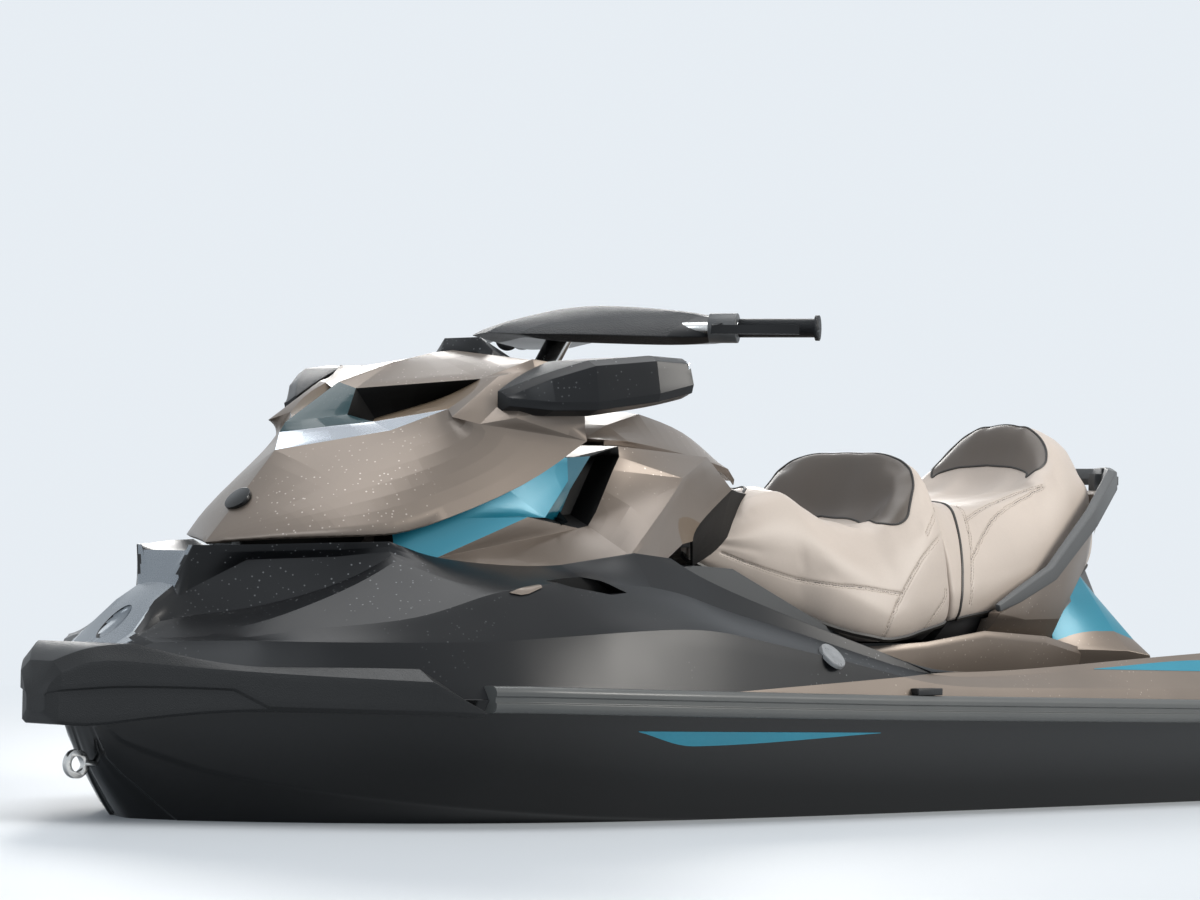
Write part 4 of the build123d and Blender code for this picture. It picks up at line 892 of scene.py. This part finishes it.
hood = {
    "wall": 6, "turn": 3.5, "fold": 7, "soft": ("side0", "side1", "side2", "side3", "side4"),
    "finishes": ("satinBronze", "silverTrim", "smokedGlass", "smokedGlass", "paintedShadeBronze", "paintedShadeBlack"),
    "points": {
        "noseLow": (1297, 0, 461), "rim1": (1244, 98, 470), "rim2": (1186, 192, 475), "rim3": (1124, 240, 479),
        "rim4": (1062, 264, 483), "rim5": (832, 312, 570), "rim6": (735, 340, 648),
        "side0": (1248, 60, 494), "side1": (1186, 138, 524), "side2": (1124, 188, 549), "side3": (1052, 226, 577),
        "side4": (932, 266, 622), "nose": (1224, 0, 537), "trimLow0": (1146, 0, 621), "trimLow1": (1005, 137, 658),
        "trimLow2": (934, 205, 697), "trimTop0": (1137, 0, 652), "trimTop1": (1018, 107, 673),
        "band0": (1124, 0, 670), "band1": (1022, 45, 686), "browFront": (1004, 0, 744), "brow0": (990, 30, 733),
        "brow1": (856, 202, 752), "lip": (886, 224, 731), "ridge1": (882, 0, 783), "ridge2": (790, 0, 804),
        "ridge3": (735, 0, 812), "corner": (778, 250, 789), "cornerLow": (778, 256, 771), "fold1": (842, 233, 757),
        "fold2": (957, 240, 682), "knee": (914, 264, 671), "under1": (863, 300, 683), "under2": (838, 292, 718),
        "rear1": (735, 336, 716), "rear2": (735, 262, 784), "floor1": (950, 36, 682), "floor2": (862, 128, 722),
        "wallIn1": (1000, 34, 668),
    },
    "panels": [
        ("noseLow rim1 side0", 0), ("rim1 rim2 side1 side0", 0), ("rim2 rim3 side2 side1", 0),
        ("rim3 rim4 side3 side2", 0), ("rim4 rim5 side4 side3", 0), ("rim5 rim6 knee side4", 0),
        ("noseLow side0 nose", 0), ("side0 side1 nose", 0), ("side1 side2 trimLow0 nose", 0),
        ("side2 side3 trimLow1 trimLow0", 0), ("side3 side4 trimLow2 trimLow1", 0), ("side4 knee fold2 trimLow2", 0),
        ("trimLow2 fold2 fold1 lip", 0), ("lip fold1 brow1", 0), ("brow1 fold1 cornerLow corner", 0),
        ("fold1 fold2 knee cornerLow", 0), ("cornerLow knee under1 under2", 0), ("knee rim6 under1", 0),
        ("under1 rim6 rear1", 0), ("under2 under1 rear1", 0), ("cornerLow under2 rear1 rear2", 0),
        ("corner cornerLow rear2", 0), ("browFront brow0 ridge1", 0), ("brow0 brow1 ridge2 ridge1", 0),
        ("brow1 corner rear2 ridge3 ridge2", 0),
        ("trimLow0 trimLow1 trimTop1 trimTop0", 1), ("trimLow1 trimLow2 trimTop1", 1),
        ("trimTop0 trimTop1 band1 band0", 2), ("band0 band1 brow0 browFront", 3),
        # the scoop's floor gets the darker bronze and its walls the near-black: painted shade
        ("trimTop1 trimLow2 lip brow1 floor2 floor1", 4), ("trimTop1 floor1 wallIn1 band1", 5),
        ("band1 wallIn1 floor1 brow0", 5), ("brow0 floor1 floor2 brow1", 5),
    ],
    # boxes around the part of the CAD hood that isn't its hinge sleeve
    "rest": [((600, 1236), (-400, 400), (300, 900)), ((1200, 1330), (19, 400), (300, 900)),
             ((1200, 1330), (-400, -19), (300, 900)), ((1266, 1330), (-400, 400), (300, 900)),
             ((1200, 1330), (-400, 400), (500, 900))],
}
hoodPiece = withSleeve(facetted("hood_moulding", hood), "hood", hood["rest"], "castAlloy")
fit(hoodPiece, "hood", None, ["hood", "hood_trim", "hood_scoop"])
print("hood made")


# Mirrors and bar pad

mirror = {
    # x, inner y, outer y, low z, high z
    "lines": [(872, 262, 296, 693, 729), (820, 262, 352, 687, 761), (760, 270, 398, 689, 785),
              (660, 304, 446, 707, 797), (588, 330, 456, 725, 795)],
    "fold": 12, "turn": 3, "glass": ((580, 594), (338, 448), (732, 788)), "underside": 5,
}


def mirrorOutline(yi, yo, zl, zh):
    return [(yi, zl + 8), (yo - 30, zl), (yo - 4, zl + 10), (yo, zl + 24), (yo - 10, zh - 10), (yo - 30, zh), (yi, zh)]


rings = [[(row[0], y, z) for y, z in mirrorOutline(*row[1:])] for row in mirror["lines"]]
points, sides = [Vector(p) for ring in rings for p in ring], len(rings[0])
mesh = newMesh("mirror", points, ringFaces(len(rings), sides))
dress(mesh, "satinBlack", "mouldedBlack")
for face in mesh.polygons[:-2]:
    face.material_index = 1 if face.index % sides == mirror["underside"] else 0
mirror["middle"] = sum(points, Vector()) / len(points)
mirrorPiece = withTwin(creased("mirror_housings_moulded", mesh, mirror))
depth, (inner, outer), height = mirror["glass"]
carve(mirrorPiece, [boxSolid(depth, (inner, outer), height), boxSolid(depth, (-outer, -inner), height)])
fit(mirrorPiece, "hood", None, ["mirror_housings"])

pad = {
    # y, then side outline x z: front low, tip, front top, top, rear top, rear low
    "slices": [(0, (606, 845), (652, 848), (600, 872), (520, 889), (400, 914), (320, 912), (334, 851)),
               (62, (560, 834), (630, 845), (584, 868), (500, 887), (392, 911), (302, 909), (322, 847)),
               (136, (452, 834), (500, 849), (470, 866), (420, 884), (350, 905), (268, 903), (290, 843)),
               (204, (336, 834), (384, 848), (372, 860), (350, 876), (300, 891), (240, 889), (262, 839)),
               (242, (292, 845), (320, 852), (316, 860), (302, 870), (276, 881), (242, 879), (252, 851))],
    "fold": 20, "turn": 4, "middle": (420, 0, 860), "finishes": ("padRubber", "satinBlack"),
}
count = len(pad["slices"]) - 1
pad["points"] = {f"s{s}_{i}": (x, row[0], z) for s, row in enumerate(pad["slices"]) for i, (x, z) in enumerate(row[1:])}
pad["panels"] = [(f"s{s}_{i} s{s}_{(i + 1) % 7} s{s + 1}_{(i + 1) % 7} s{s + 1}_{i}", 0 if s < 3 and i != 6 else 1)
                 for s in range(count) for i in range(7)]
pad["panels"].append((" ".join(f"s{count}_{i}" for i in range(7)), 1))
fit(facetted("bar_pad_moulded", pad), "steering", None, ["bar_pad"])
print("mirrors and pad made")


# Seats: rings across the craft; seams are held and the panels between them puff out as cloth

upholstery = {
    # corner radii and panel crowns of a section from the lower to the upper middle, and the points on each panel
    "radii": [8, 14, 34, 24, 22, 40], "crowns": [0, 3, 9, 3, 4], "counts": [10, 4, 13, 4, 8], "step": 9,
    # what the cloth holds: near a seam and at the two ends; how far it may move
    "held": 5.4, "heldEnds": (14, 11), "cap": 7,
    # seam groove as reach, depth and width; cords as radius and lift; stitches as spacing, length and radius
    "groove": (9, 2.4, 3.0), "thread": (1.0, -0.9), "rim": (2.4, 0.3), "beside": 4.2, "stitch": (6.5, 4.0, 0.45),
}
driverSeat = {
    # x, bottom y z, widest y z, rim outside y z, rim inside y z, centre z
    "lines": [(228, 84, 454, 92, 464, 84, 477, 60, 481, 482), (196, 100, 436, 110, 464, 94, 496, 66, 502, 504),
              (120, 128, 402, 144, 450, 118, 530, 84, 541, 544), (60, 148, 374, 164, 434, 128, 560, 90, 573, 576),
              (0, 166, 350, 182, 418, 136, 572, 94, 584, 587), (-60, 206, 322, 220, 390, 152, 545, 100, 553, 555),
              (-120, 238, 306, 250, 366, 166, 522, 108, 524, 524), (-170, 250, 299, 264, 350, 180, 519, 118, 512, 509),
              (-220, 252, 305, 267, 358, 202, 540, 136, 514, 507), (-262, 252, 316, 268, 370, 204, 576, 144, 552, 532),
              (-296, 251, 323, 266, 378, 205, 597, 150, 618, 610), (-320, 250, 328, 264, 384, 202, 608, 148, 650, 662),
              (-341, 247, 332, 260, 388, 196, 602, 140, 643, 656)],
    "ends": (12, 9),
    # the dark panel's outline, from its lower middle over the side to the top
    "dark": [(-259, 0, 533), (-240, 100, 524), (-212, 165, 509), (-240, 194, 514), (-262, 203, 530), (-276, 202, 556),
             (-296, 196, 597), (-308, 182, 622), (-318, 152, 642), (-322, 93, 655), (-324, 0, 661)],
    "seams": [[(159, 124, 461), (109, 144, 443), (60, 160, 428), (1, 177, 414), (-53, 209, 406), (-116, 233, 401),
               (-201, 254, 390)],
              [(-335, 221, 506), (-261, 245, 454), (-201, 254, 390), (-167, 259, 345), (-154, 246, 307)],
              [(-322, 252, 400), (-316, 260, 380), (-287, 260, 350), (-270, 252, 327)],
              [(-322, 150, 640), (-330, 185, 590), (-326, 208, 545), (-289, 230, 502)]],
    # front edge piping, then a thicker dark cord along the lower edge that stands in for the shade under it: painted
    # shade
    "hemsAndShadeCords": [([(30, 0, 590), (35, 63, 583), (97, 95, 552), (162, 111, 500), (197, 105, 473)], 3.2),
             ([(228, 84, 454), (196, 100, 436), (120, 128, 402), (60, 148, 374), (0, 166, 350), (-60, 206, 322),
               (-120, 238, 306), (-170, 250, 299), (-220, 252, 305), (-341, 247, 332)], 6.0)],
}
rearSeat = {
    # x, bottom y z, widest y z, rim outside y z, rim inside y z, centre z
    "lines": [(-352, 240, 336, 253, 388, 178, 578, 120, 592, 598), (-372, 240, 338, 253, 390, 178, 574, 116, 586, 592),
              (-420, 237, 345, 249, 398, 178, 560, 110, 568, 572), (-500, 232, 354, 244, 410, 178, 562, 110, 562, 562),
              (-600, 222, 368, 234, 428, 174, 580, 110, 572, 568), (-680, 212, 382, 224, 448, 168, 604, 112, 588, 580),
              (-728, 206, 396, 218, 464, 166, 634, 116, 618, 604), (-766, 201, 408, 213, 480, 162, 656, 116, 668, 672),
              (-796, 196, 420, 207, 494, 150, 668, 102, 714, 736), (-850, 182, 450, 191, 524, 138, 660, 96, 706, 728),
              (-904, 140, 500, 150, 560, 104, 640, 70, 656, 663)],
    "ends": (10, 16),
    "dark": [(-722, 0, 664), (-728, 70, 655), (-724, 112, 644), (-722, 124, 626), (-742, 136, 636), (-765, 139, 662),
             (-786, 114, 698), (-800, 60, 726), (-806, 0, 735)],
    "seams": [[(-718, 172, 608), (-630, 174, 574), (-553, 188, 545), (-492, 209, 509), (-431, 231, 458)],
              [(-459, 190, 535), (-552, 167, 565), (-658, 151, 591), (-714, 171, 608)],
              [(-505, 0, 568), (-500, 90, 568), (-475, 151, 563), (-452, 201, 520), (-437, 225, 473),
               (-421, 240, 419), (-411, 245, 373)]],
    # front edge piping, then a thicker dark cord along the lower edge that stands in for the shade under it: painted
    # shade
    "hemsAndShadeCords": [([(-460, 0, 578), (-455, 110, 574), (-429, 185, 542), (-408, 219, 488), (-393, 239, 434),
               (-380, 249, 381), (-378, 240, 345)], 3.2),
             ([(-380, 240, 338), (-500, 232, 354), (-600, 222, 368), (-680, 212, 382), (-766, 201, 408),
               (-850, 182, 450)], 5.0)],
}


def mirrored(points):
    return [(x, -y, z) for x, y, z in points]


def spacedRing(row):
    # rounded section with a fixed number of points between one seam and the next
    x, by, bz, wy, wz, oy, oz, iy, iz, mid = row
    half = [(0, bz), (by, bz), (wy, wz), (oy, oz), (iy, iz), (0, mid)]
    radii, crowns, counts = (upholstery[key] for key in ("radii", "crowns", "counts"))
    corner, panel = 8, 7
    fine = roundedRing(bothSides(half), radii + radii[-2:0:-1], crowns + crowns[::-1], corner, panel)
    block, ring = corner + 1 + panel, []
    for i, count in enumerate(counts + counts[::-1]):
        span = [fine[(i * block + corner // 2 + k) % len(fine)] for k in range(block + 1)]
        far = np.cumsum([0.0] + [(b - a).length for a, b in zip(span, span[1:])])
        for s in range(count):
            ring.append([float(np.interp(far[-1] * s / count, far, [p[axis] for p in span])) for axis in (0, 1)])
    return ring


def snapped(points, tree, step=4.0, lift=0.0):
    # evenly spaced points on a surface, along a smooth line through rough ones
    rough = [Vector(p) for p in points]
    last, line = len(rough) - 1, []
    for i in range(last):
        before, a, b, after = rough[max(i - 1, 0)], rough[i], rough[i + 1], rough[min(i + 2, last)]
        n = max(2, round((b - a).length / step))
        for s in range(n + (i == last - 1)):
            t = s / n
            line.append(0.5 * (2 * a + (b - before) * t + (2 * before - 5 * a + 4 * b - after) * t * t
                               + (3 * a - before - 3 * b + after) * t ** 3))
    found = [tree.find_nearest(p * mm)[:2] for p in line]
    return [(place + normal * lift * mm, normal) for place, normal in found]


def clothRun(made, held, cap, frames=20):
    # swells the panels under a little air pressure, keeps the held points, and limits how far a point moves
    group = made.vertex_groups.new(name="held")
    group.add(held, 1.0, "REPLACE")
    start = [v.co.copy() for v in made.data.vertices]
    cloth = made.modifiers.new("air", "CLOTH")
    settings = cloth.settings
    settings.quality, settings.mass = 5, 0.3
    settings.use_pressure, settings.uniform_pressure_force = True, 4.0
    settings.tension_stiffness = settings.compression_stiffness = 14
    settings.bending_stiffness = 0.6
    settings.vertex_group_mass = "held"
    settings.effector_weights.gravity = 0
    cloth.collision_settings.use_self_collision = False
    cloth.point_cache.frame_start, cloth.point_cache.frame_end = 1, frames
    scene = bpy.context.scene
    for f in range(1, frames + 1):
        scene.frame_set(f)
    graph = bpy.context.evaluated_depsgraph_get()
    puffed = [v.co.copy() for v in made.evaluated_get(graph).data.vertices]
    made.modifiers.remove(cloth)
    scene.frame_set(1)
    most = 0.0
    for v, a, b in zip(made.data.vertices, start, puffed):
        far = (b - a).length / mm
        if far > 1e-6:
            moved = cap * math.tanh(far / cap)
            v.co = a + (b - a) * (moved / far)
            most = max(most, moved)
    print(f"{made.name} puffed by up to {most:.1f} mm")


def cordOn(name, line, skin, radius, lift):
    # thin round cord lying on a surface
    curve = bpy.data.curves.new(name, "CURVE")
    curve.dimensions = "3D"
    places = [p for p, _ in snapped(line, skin, 6.0, lift)]
    spline = curve.splines.new("POLY")
    spline.points.add(len(places) - 1)
    for point, p in zip(spline.points, places):
        point.co = (*p, 1)
    curve.bevel_depth, curve.bevel_resolution, curve.use_fill_caps = radius * mm, 1, True
    return plainMesh(placed(name, curve), name)


def besideSeams(lines, skin, gap):
    # lines on a surface, on both sides of the seams
    beside = []
    for line in lines:
        found = snapped(line, skin, 6.0, 0.4)
        for side in (gap, -gap):
            shifted = []
            for k, (place, normal) in enumerate(found):
                along = (found[min(k + 1, len(found) - 1)][0] - found[max(k - 1, 0)][0]).normalized()
                near, up, _, _ = skin.find_nearest(place + along.cross(normal) * side * mm)
                shifted.append(near + up * 0.25 * mm)
            beside.append(shifted)
    return beside


def upholstered(name, seat, body, node):
    # shell, cloth, grooves along the seams, the dark panel, piping and stitches; the thick cord along the lower edge is
    # a dark cord laid in the seat's shadow band, painted shade
    rings = [[Vector((row[0], *p)) for p in spacedRing(row)] for row in denseRows(seat["lines"], upholstery["step"])]
    made = meshFrom(name + "_shell", roundEnds(rings, seat["ends"]), sharp=180)
    flat = surfaceOf(made)
    lines = [line for points in seat["seams"] for line in (points, mirrored(points))]
    seams = [place for line in lines for place, _ in snapped(line, flat)]
    marked = KDTree(len(seams))
    for k, place in enumerate(seams):
        marked.insert(place, k)
    marked.balance()
    fore, aft = upholstery["heldEnds"]
    front, back = seat["lines"][0][0] - fore, seat["lines"][-1][0] + aft
    held = [v.index for v in made.data.vertices
            if marked.find(v.co)[2] < upholstery["held"] * mm or not back < v.co.x / mm < front or v.normal.z < -0.6]
    clothRun(made, held, upholstery["cap"])
    fineness = made.modifiers.new("fine", "SUBSURF")
    fineness.levels = fineness.render_levels = 2
    made = plainMesh(made, name)
    reach, depth, width = upholstery["groove"]
    ups = [v.normal.copy() for v in made.data.vertices]
    for v, up in zip(made.data.vertices, ups):
        near = marked.find(v.co)[2] / mm
        if near < reach:
            v.co -= up * depth * math.exp(-(near / width) ** 2) * mm
    skin = surfaceOf(made)
    rim = seat["dark"] + mirrored(seat["dark"][-2::-1])
    loop = [p / mm for p, _ in snapped(rim, skin)][::2]
    outline = [(p.y, p.z - p.x) for p in loop]
    back, front = min(p.x for p in loop) - 4, max(p.x for p in loop) + 4
    foot = min(p.z for p in loop) - 8
    painted(made, ("seatVinyl", "bolsterVinyl"), lambda c, n: int(
        back < c.x < front and c.z > foot and withinOutline((c.y, c.z - c.x), outline)))
    fit(shaded(made, 180), body, None, [node])
    threads = [cordOn(f"{name}_thread_{i}", line, skin, *upholstery["thread"]) for i, line in enumerate(lines)]
    threads.append(cordOn(f"{name}_rim", rim, skin, *upholstery["rim"]))
    # the last cord of each seat fills the shadow band under the lower edge with dark piping: painted shade
    for i, (line, radius) in enumerate(seat["hemsAndShadeCords"]):
        threads += [cordOn(f"{name}_hem_{i}", side, skin, radius, 0.2) for side in (line, mirrored(line))]
    fit(joined(name + "_piping", threads), body, "pipingBlack")
    stitches = pegsAlong(name + "_stitches", besideSeams(lines, skin, upholstery["beside"]), *upholstery["stitch"],
                         "threadTan")
    fit(stitches, body, None)


upholstered("driver_seat_cover", driverSeat, "craft", "driver_seat")
upholstered("rear_seat_cover", rearSeat, "passenger_seat", "passenger_seat")
print("seats made")


# Rear: seat room, tail cowl, grab handle

def seatRoom(grow):
    # space that the rear seat lifts through
    rows = [[row[0], row[3] + grow, row[2] - grow] for row in rearSeat["lines"]]
    rows[0][0] += grow
    rows[-1][0] -= grow
    return sideSolid([(x, [(-w, z), (w, z), (w, 900), (-w, 900)]) for x, w, z in rows])


tail = {
    # x, hip y z, step y z, peak y z, top y z
    "lines": [(-694, 222, 284, 221, 300, 214, 338, 150, 344), (-760, 256, 286, 240, 322, 204, 404, 150, 416),
              (-835, 300, 284, 262, 322, 168, 436, 120, 486), (-880, 318, 276, 276, 306, 176, 394, 110, 520),
              (-985, 250, 232, 226, 238, 150, 262, 100, 266)],
    "fold": 7, "across": 20, "turn": 3, "middle": (-860, 0, 300), "foot": 222,
}


def tailHalf(row):
    x, hy, hz, sy, sz, py, pz, ty, tz = row
    return [(0, tail["foot"]), (hy - 20, tail["foot"]), (hy, hz), (sy, sz), (py, pz), (ty, tz), (0, tz)]


def tailFinish(c, n):
    # coloured between the step and the peak, bronze below them, grey elsewhere
    xs = [-row[0] for row in tail["lines"]]
    sy, sz, py, pz = (np.interp(-c.x, xs, [row[i] for row in tail["lines"]]) for i in (3, 4, 5, 6))
    side = abs(n.y) > 0.3 and c.x > -984
    return 1 if side and py + 4 < abs(c.y) < sy + 2 and sz < c.z < pz else 2 if side and c.z <= sz else 0


tailPiece = carve(gridPiece("tail_cowl_moulding", tail["lines"], tailHalf, tail), [seatRoom(6)])
fit(painted(tailPiece, ("greyPlastic", "tealPaint", "satinBronze"), tailFinish), "craft", None, ["tail_cowl"])

handle = {
    # centre line of the port half, then half width and half height
    "path": [(-458, 274, 366, 6, 8), (-520, 270, 390, 9, 13), (-640, 256, 436, 10, 16), (-785, 238, 546, 11, 20),
             (-925, 178, 626, 12, 22), (-1010, 100, 636, 12, 19), (-1036, 50, 636, 11, 17), (-1040, 0, 636, 11, 17)],
    "shape": [(-1, -1), (0.5, -1), (1.3, -0.35), (0.6, 1), (-1, 0.8)], "turn": 2.5,
    # boxes around the part of the CAD handle that isn't its posts
    "rest": [((-1100, -400), y, (200, 900)) for y in ((108, 400), (-400, -108), (-88, 88))],
}


def handleRing(i):
    path, last = handle["path"], len(handle["path"]) - 1
    here, before, after = (Vector(path[k][:3]) for k in (i, max(i - 1, 0), min(i + 1, last)))
    along = (after - before).normalized() if i < last else Vector((0, -1, 0))
    across = along.cross(Vector((0, 0, 1))).normalized()
    up = across.cross(along).normalized()
    w, h = path[i][3:]
    return [here - across * w * a + up * h * b for a, b in handle["shape"]]


rings = [handleRing(i) for i in range(len(handle["path"]))]
rings += [mirrored(ring) for ring in rings[-2::-1]]
bow = edgesRounded(meshFrom("grab_handle_moulding", rings, sharp=30), handle["turn"], 3, 20)
posts = carve(softened("grab_handle", 1.5), [boxSolid(*box) for box in handle["rest"]])
fit(joined("grab_handle_moulding", [bow, posts]), "craft", "greyPlastic", ["grab_handle"])
print("rear pieces made")


# Mats

def ribbed(node, margin=8, spacing=16, step=12):
    # rubber ribs along x on top of a mat
    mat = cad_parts[node]
    tree = surfaceOf(mat)
    xs, ys, _ = zip(*(Vector(corner) / mm for corner in mat.bound_box))
    front, back, low, high = max(xs) - margin, min(xs) + margin, min(ys) + margin, max(ys) - margin
    lines = []
    for k in range(int((high - low) / spacing) + 1):
        line = []
        for s in range(int((front - back) / step) + 1):
            above = Vector((front - step * s, low + k * spacing, 700)) * mm
            place, normal, _, _ = tree.ray_cast(above, Vector((0, 0, -1)))
            if place is not None and normal.z > 0.6:
                line.append(place)
        if len(line) > 1:
            lines.append(line)
    fit(pegsAlong(node + "_ribs", lines, 12, 7, 1.6, "matFoam"), "craft", None)


ribbed("footwell_mats")
ribbed("platform_mat")
print("mats ribbed")


# Nodes that keep their CAD shape: body, finish, width of the turned edges

plainNodes = {
    "storage_bin": ("craft", "greyPlastic", 1.2), "glovebox_bin": ("craft", "greyPlastic", 1.2),
    "lid_hinge": ("craft", "pumpBlack", 0.6), "hood_hinge": ("craft", "castAlloy", 0.6),
    "steering_column": ("craft", "pumpBlack", 1.0), "gauge_pod": ("craft", "satinBlack", 4.0),
    "driver_pan": ("craft", "pumpBlack", 0.8), "bay_seal": ("craft", "pipingBlack", 1.0),
    "engine": ("craft", "engineGrey", 3.0), "pump": ("craft", "castAlloy", 0.6),
    "step_brackets": ("craft", "stainless", 0.6), "ride_plate": ("craft", "castAlloy", 0.6),
    "intake_grate": ("craft", "castAlloy", 0.8), "sponsons": ("craft", "satinBlack", 3.0),
    "cleats": ("craft", "mouldedBlack", 1.5), "bow_eye": ("craft", "stainless", 0.8),
    "tow_eye": ("craft", "stainless", 0.8), "nose_cap": ("hood", "glossBlack", 2.0),
    "mirror_glasses": ("hood", "mirrorGlass", 0.4), "handlebar": ("steering", "stainless", 0),
    "grips": ("steering", "padRubber", 0), "switch_housings": ("steering", "greyPlastic", 1.0),
    "levers": ("steering", "satinBlack", 0.8), "seat_pan": ("passenger_seat", "pumpBlack", 0.8),
    "impeller": ("impeller", "stainless", 0.5), "steering_nozzle": ("nozzle", "castAlloy", 0.6),
    "reverse_bucket": ("reverse_bucket", "pumpBlack", 0.8), "boarding_step": ("boarding_step", "stainless", 0.4),
    "seat_base": ("craft", "satinBronze", 4.0), "side_flanks": ("craft", "satinBronze", 3.0),
    "footwell_mats": ("craft", "matFoam", 0.8), "platform_mat": ("craft", "matFoam", 0.8),
}
for node, (body, finish, width) in plainNodes.items():
    fit(softened(node, width), body, finish, [node])
print("small pieces finished")


# Stage: pale floor at the waterline that fades into the distance, soft light, camera

stage = {"reach": 40000, "floor": (0.62, 0.65, 0.68, 1), "distance": (0.80, 0.85, 0.90, 1),
         "sky": (0.72, 0.82, 0.93, 1), "skyStrength": 0.26, "fade": (2.2, 7.0)}
reach = stage["reach"]
floorMesh = newMesh("floor", [(-reach, -reach, 0), (reach, -reach, 0), (reach, reach, 0), (-reach, reach, 0)],
                    [(0, 1, 2, 3)])
floor = placed("floor", floorMesh)
floorFinish = bpy.data.materials.new("paleFloor")
floorFinish.use_nodes = True
tree = floorFinish.node_tree
nodes = nodesIn(tree, "ShaderNode", far="Emission", place="TexCoord", length="VectorMath", reach="MapRange",
                fade="MixShader")
nodes |= {"pale": tree.nodes["Principled BSDF"], "output": tree.nodes["Material Output"]}
nodes["length"].operation, nodes["reach"].interpolation_type = "LENGTH", "SMOOTHSTEP"
preset(nodes, {"pale": {"Base Color": stage["floor"], "Roughness": 0.5}, "far": {"Color": stage["distance"]},
               "reach": {"From Min": stage["fade"][0], "From Max": stage["fade"][1]}})
wired(tree, nodes, "place.Object > length.0", "length.Value > reach.Value", "reach.Result > fade.Fac",
      "pale.0 > fade.1", "far.0 > fade.2", "fade.0 > output.Surface")
floorMesh.materials.append(floorFinish)

world = bpy.data.worlds.new("studio")
bpy.context.scene.world = world
world.use_nodes = True
tree = world.node_tree
nodes = nodesIn(tree, "ShaderNode", seen="Background", path="LightPath", glossy="Math", either="Math", mix="MixShader")
nodes |= {"lit": tree.nodes["Background"], "output": tree.nodes["World Output"]}
nodes["glossy"].operation = nodes["either"].operation = "MAXIMUM"
preset(nodes, {"lit": {"Color": stage["sky"], "Strength": stage["skyStrength"]},
               "seen": {"Color": stage["distance"], "Strength": 1.0}})
wired(tree, nodes, "path.Is Camera Ray > glossy.0", "path.Is Glossy Ray > glossy.1", "glossy.0 > either.0",
      "path.Is Transmission Ray > either.1", "either.0 > mix.Fac", "lit.0 > mix.1", "seen.0 > mix.2",
      "mix.0 > output.Surface")

lamps = {
    # name: place, aimed at, width, height, watts, colour
    "key": ((-2.5, 5.5, 3.6), (0.0, 0.1, 0.4), 3.0, 2.2, 330, (1.0, 0.965, 0.91)),
    "fill": ((6.5, 2.0, 3.2), (0.6, 0.0, 0.4), 4.0, 2.5, 120, (0.90, 0.95, 1.0)),
    "top": ((0.0, 0.0, 5.0), (0.0, 0.0, 0.0), 5.0, 3.0, 150, (1.0, 1.0, 1.0)),
    "back": ((-4.0, -5.0, 3.0), (-0.2, 0.0, 0.5), 3.0, 2.0, 170, (1.0, 0.98, 0.95)),
}
for name, (place, aim, width, height, watts, colour) in lamps.items():
    light = bpy.data.lights.new(name, "AREA")
    light.shape, light.size, light.size_y, light.energy, light.color = "RECTANGLE", width, height, watts, colour
    lamp = placed(name, light)
    lamp.location = place
    lamp.rotation_mode = "QUATERNION"
    lamp.rotation_quaternion = (Vector(aim) - Vector(place)).to_track_quat("-Z", "Y")

camera = {"place": (6.016, 5.657, 0.43), "pitch": 1.548, "roll": 1.06, "lens": 130.44, "sensor": 36}
eye = placed("camera", bpy.data.cameras.new("camera"))
eye.data.lens, eye.data.sensor_width = camera["lens"], camera["sensor"]
pitch, roll = math.radians(camera["pitch"]), math.radians(camera["roll"])
level = -math.cos(pitch) / math.sqrt(2)
ahead, right = Vector((level, level, math.sin(pitch))), Vector((-1, 1, 0)).normalized()
up = right.cross(ahead)
axes = Matrix((right * math.cos(roll) + up * math.sin(roll), up * math.cos(roll) - right * math.sin(roll), -ahead))
eye.matrix_world = Matrix.Translation(camera["place"]) @ axes.transposed().to_4x4()
eye.data.clip_start, eye.data.clip_end = 0.1, 200
bpy.context.scene.camera = eye
bpy.context.scene.view_settings.view_transform = "Standard"

print("stage made")
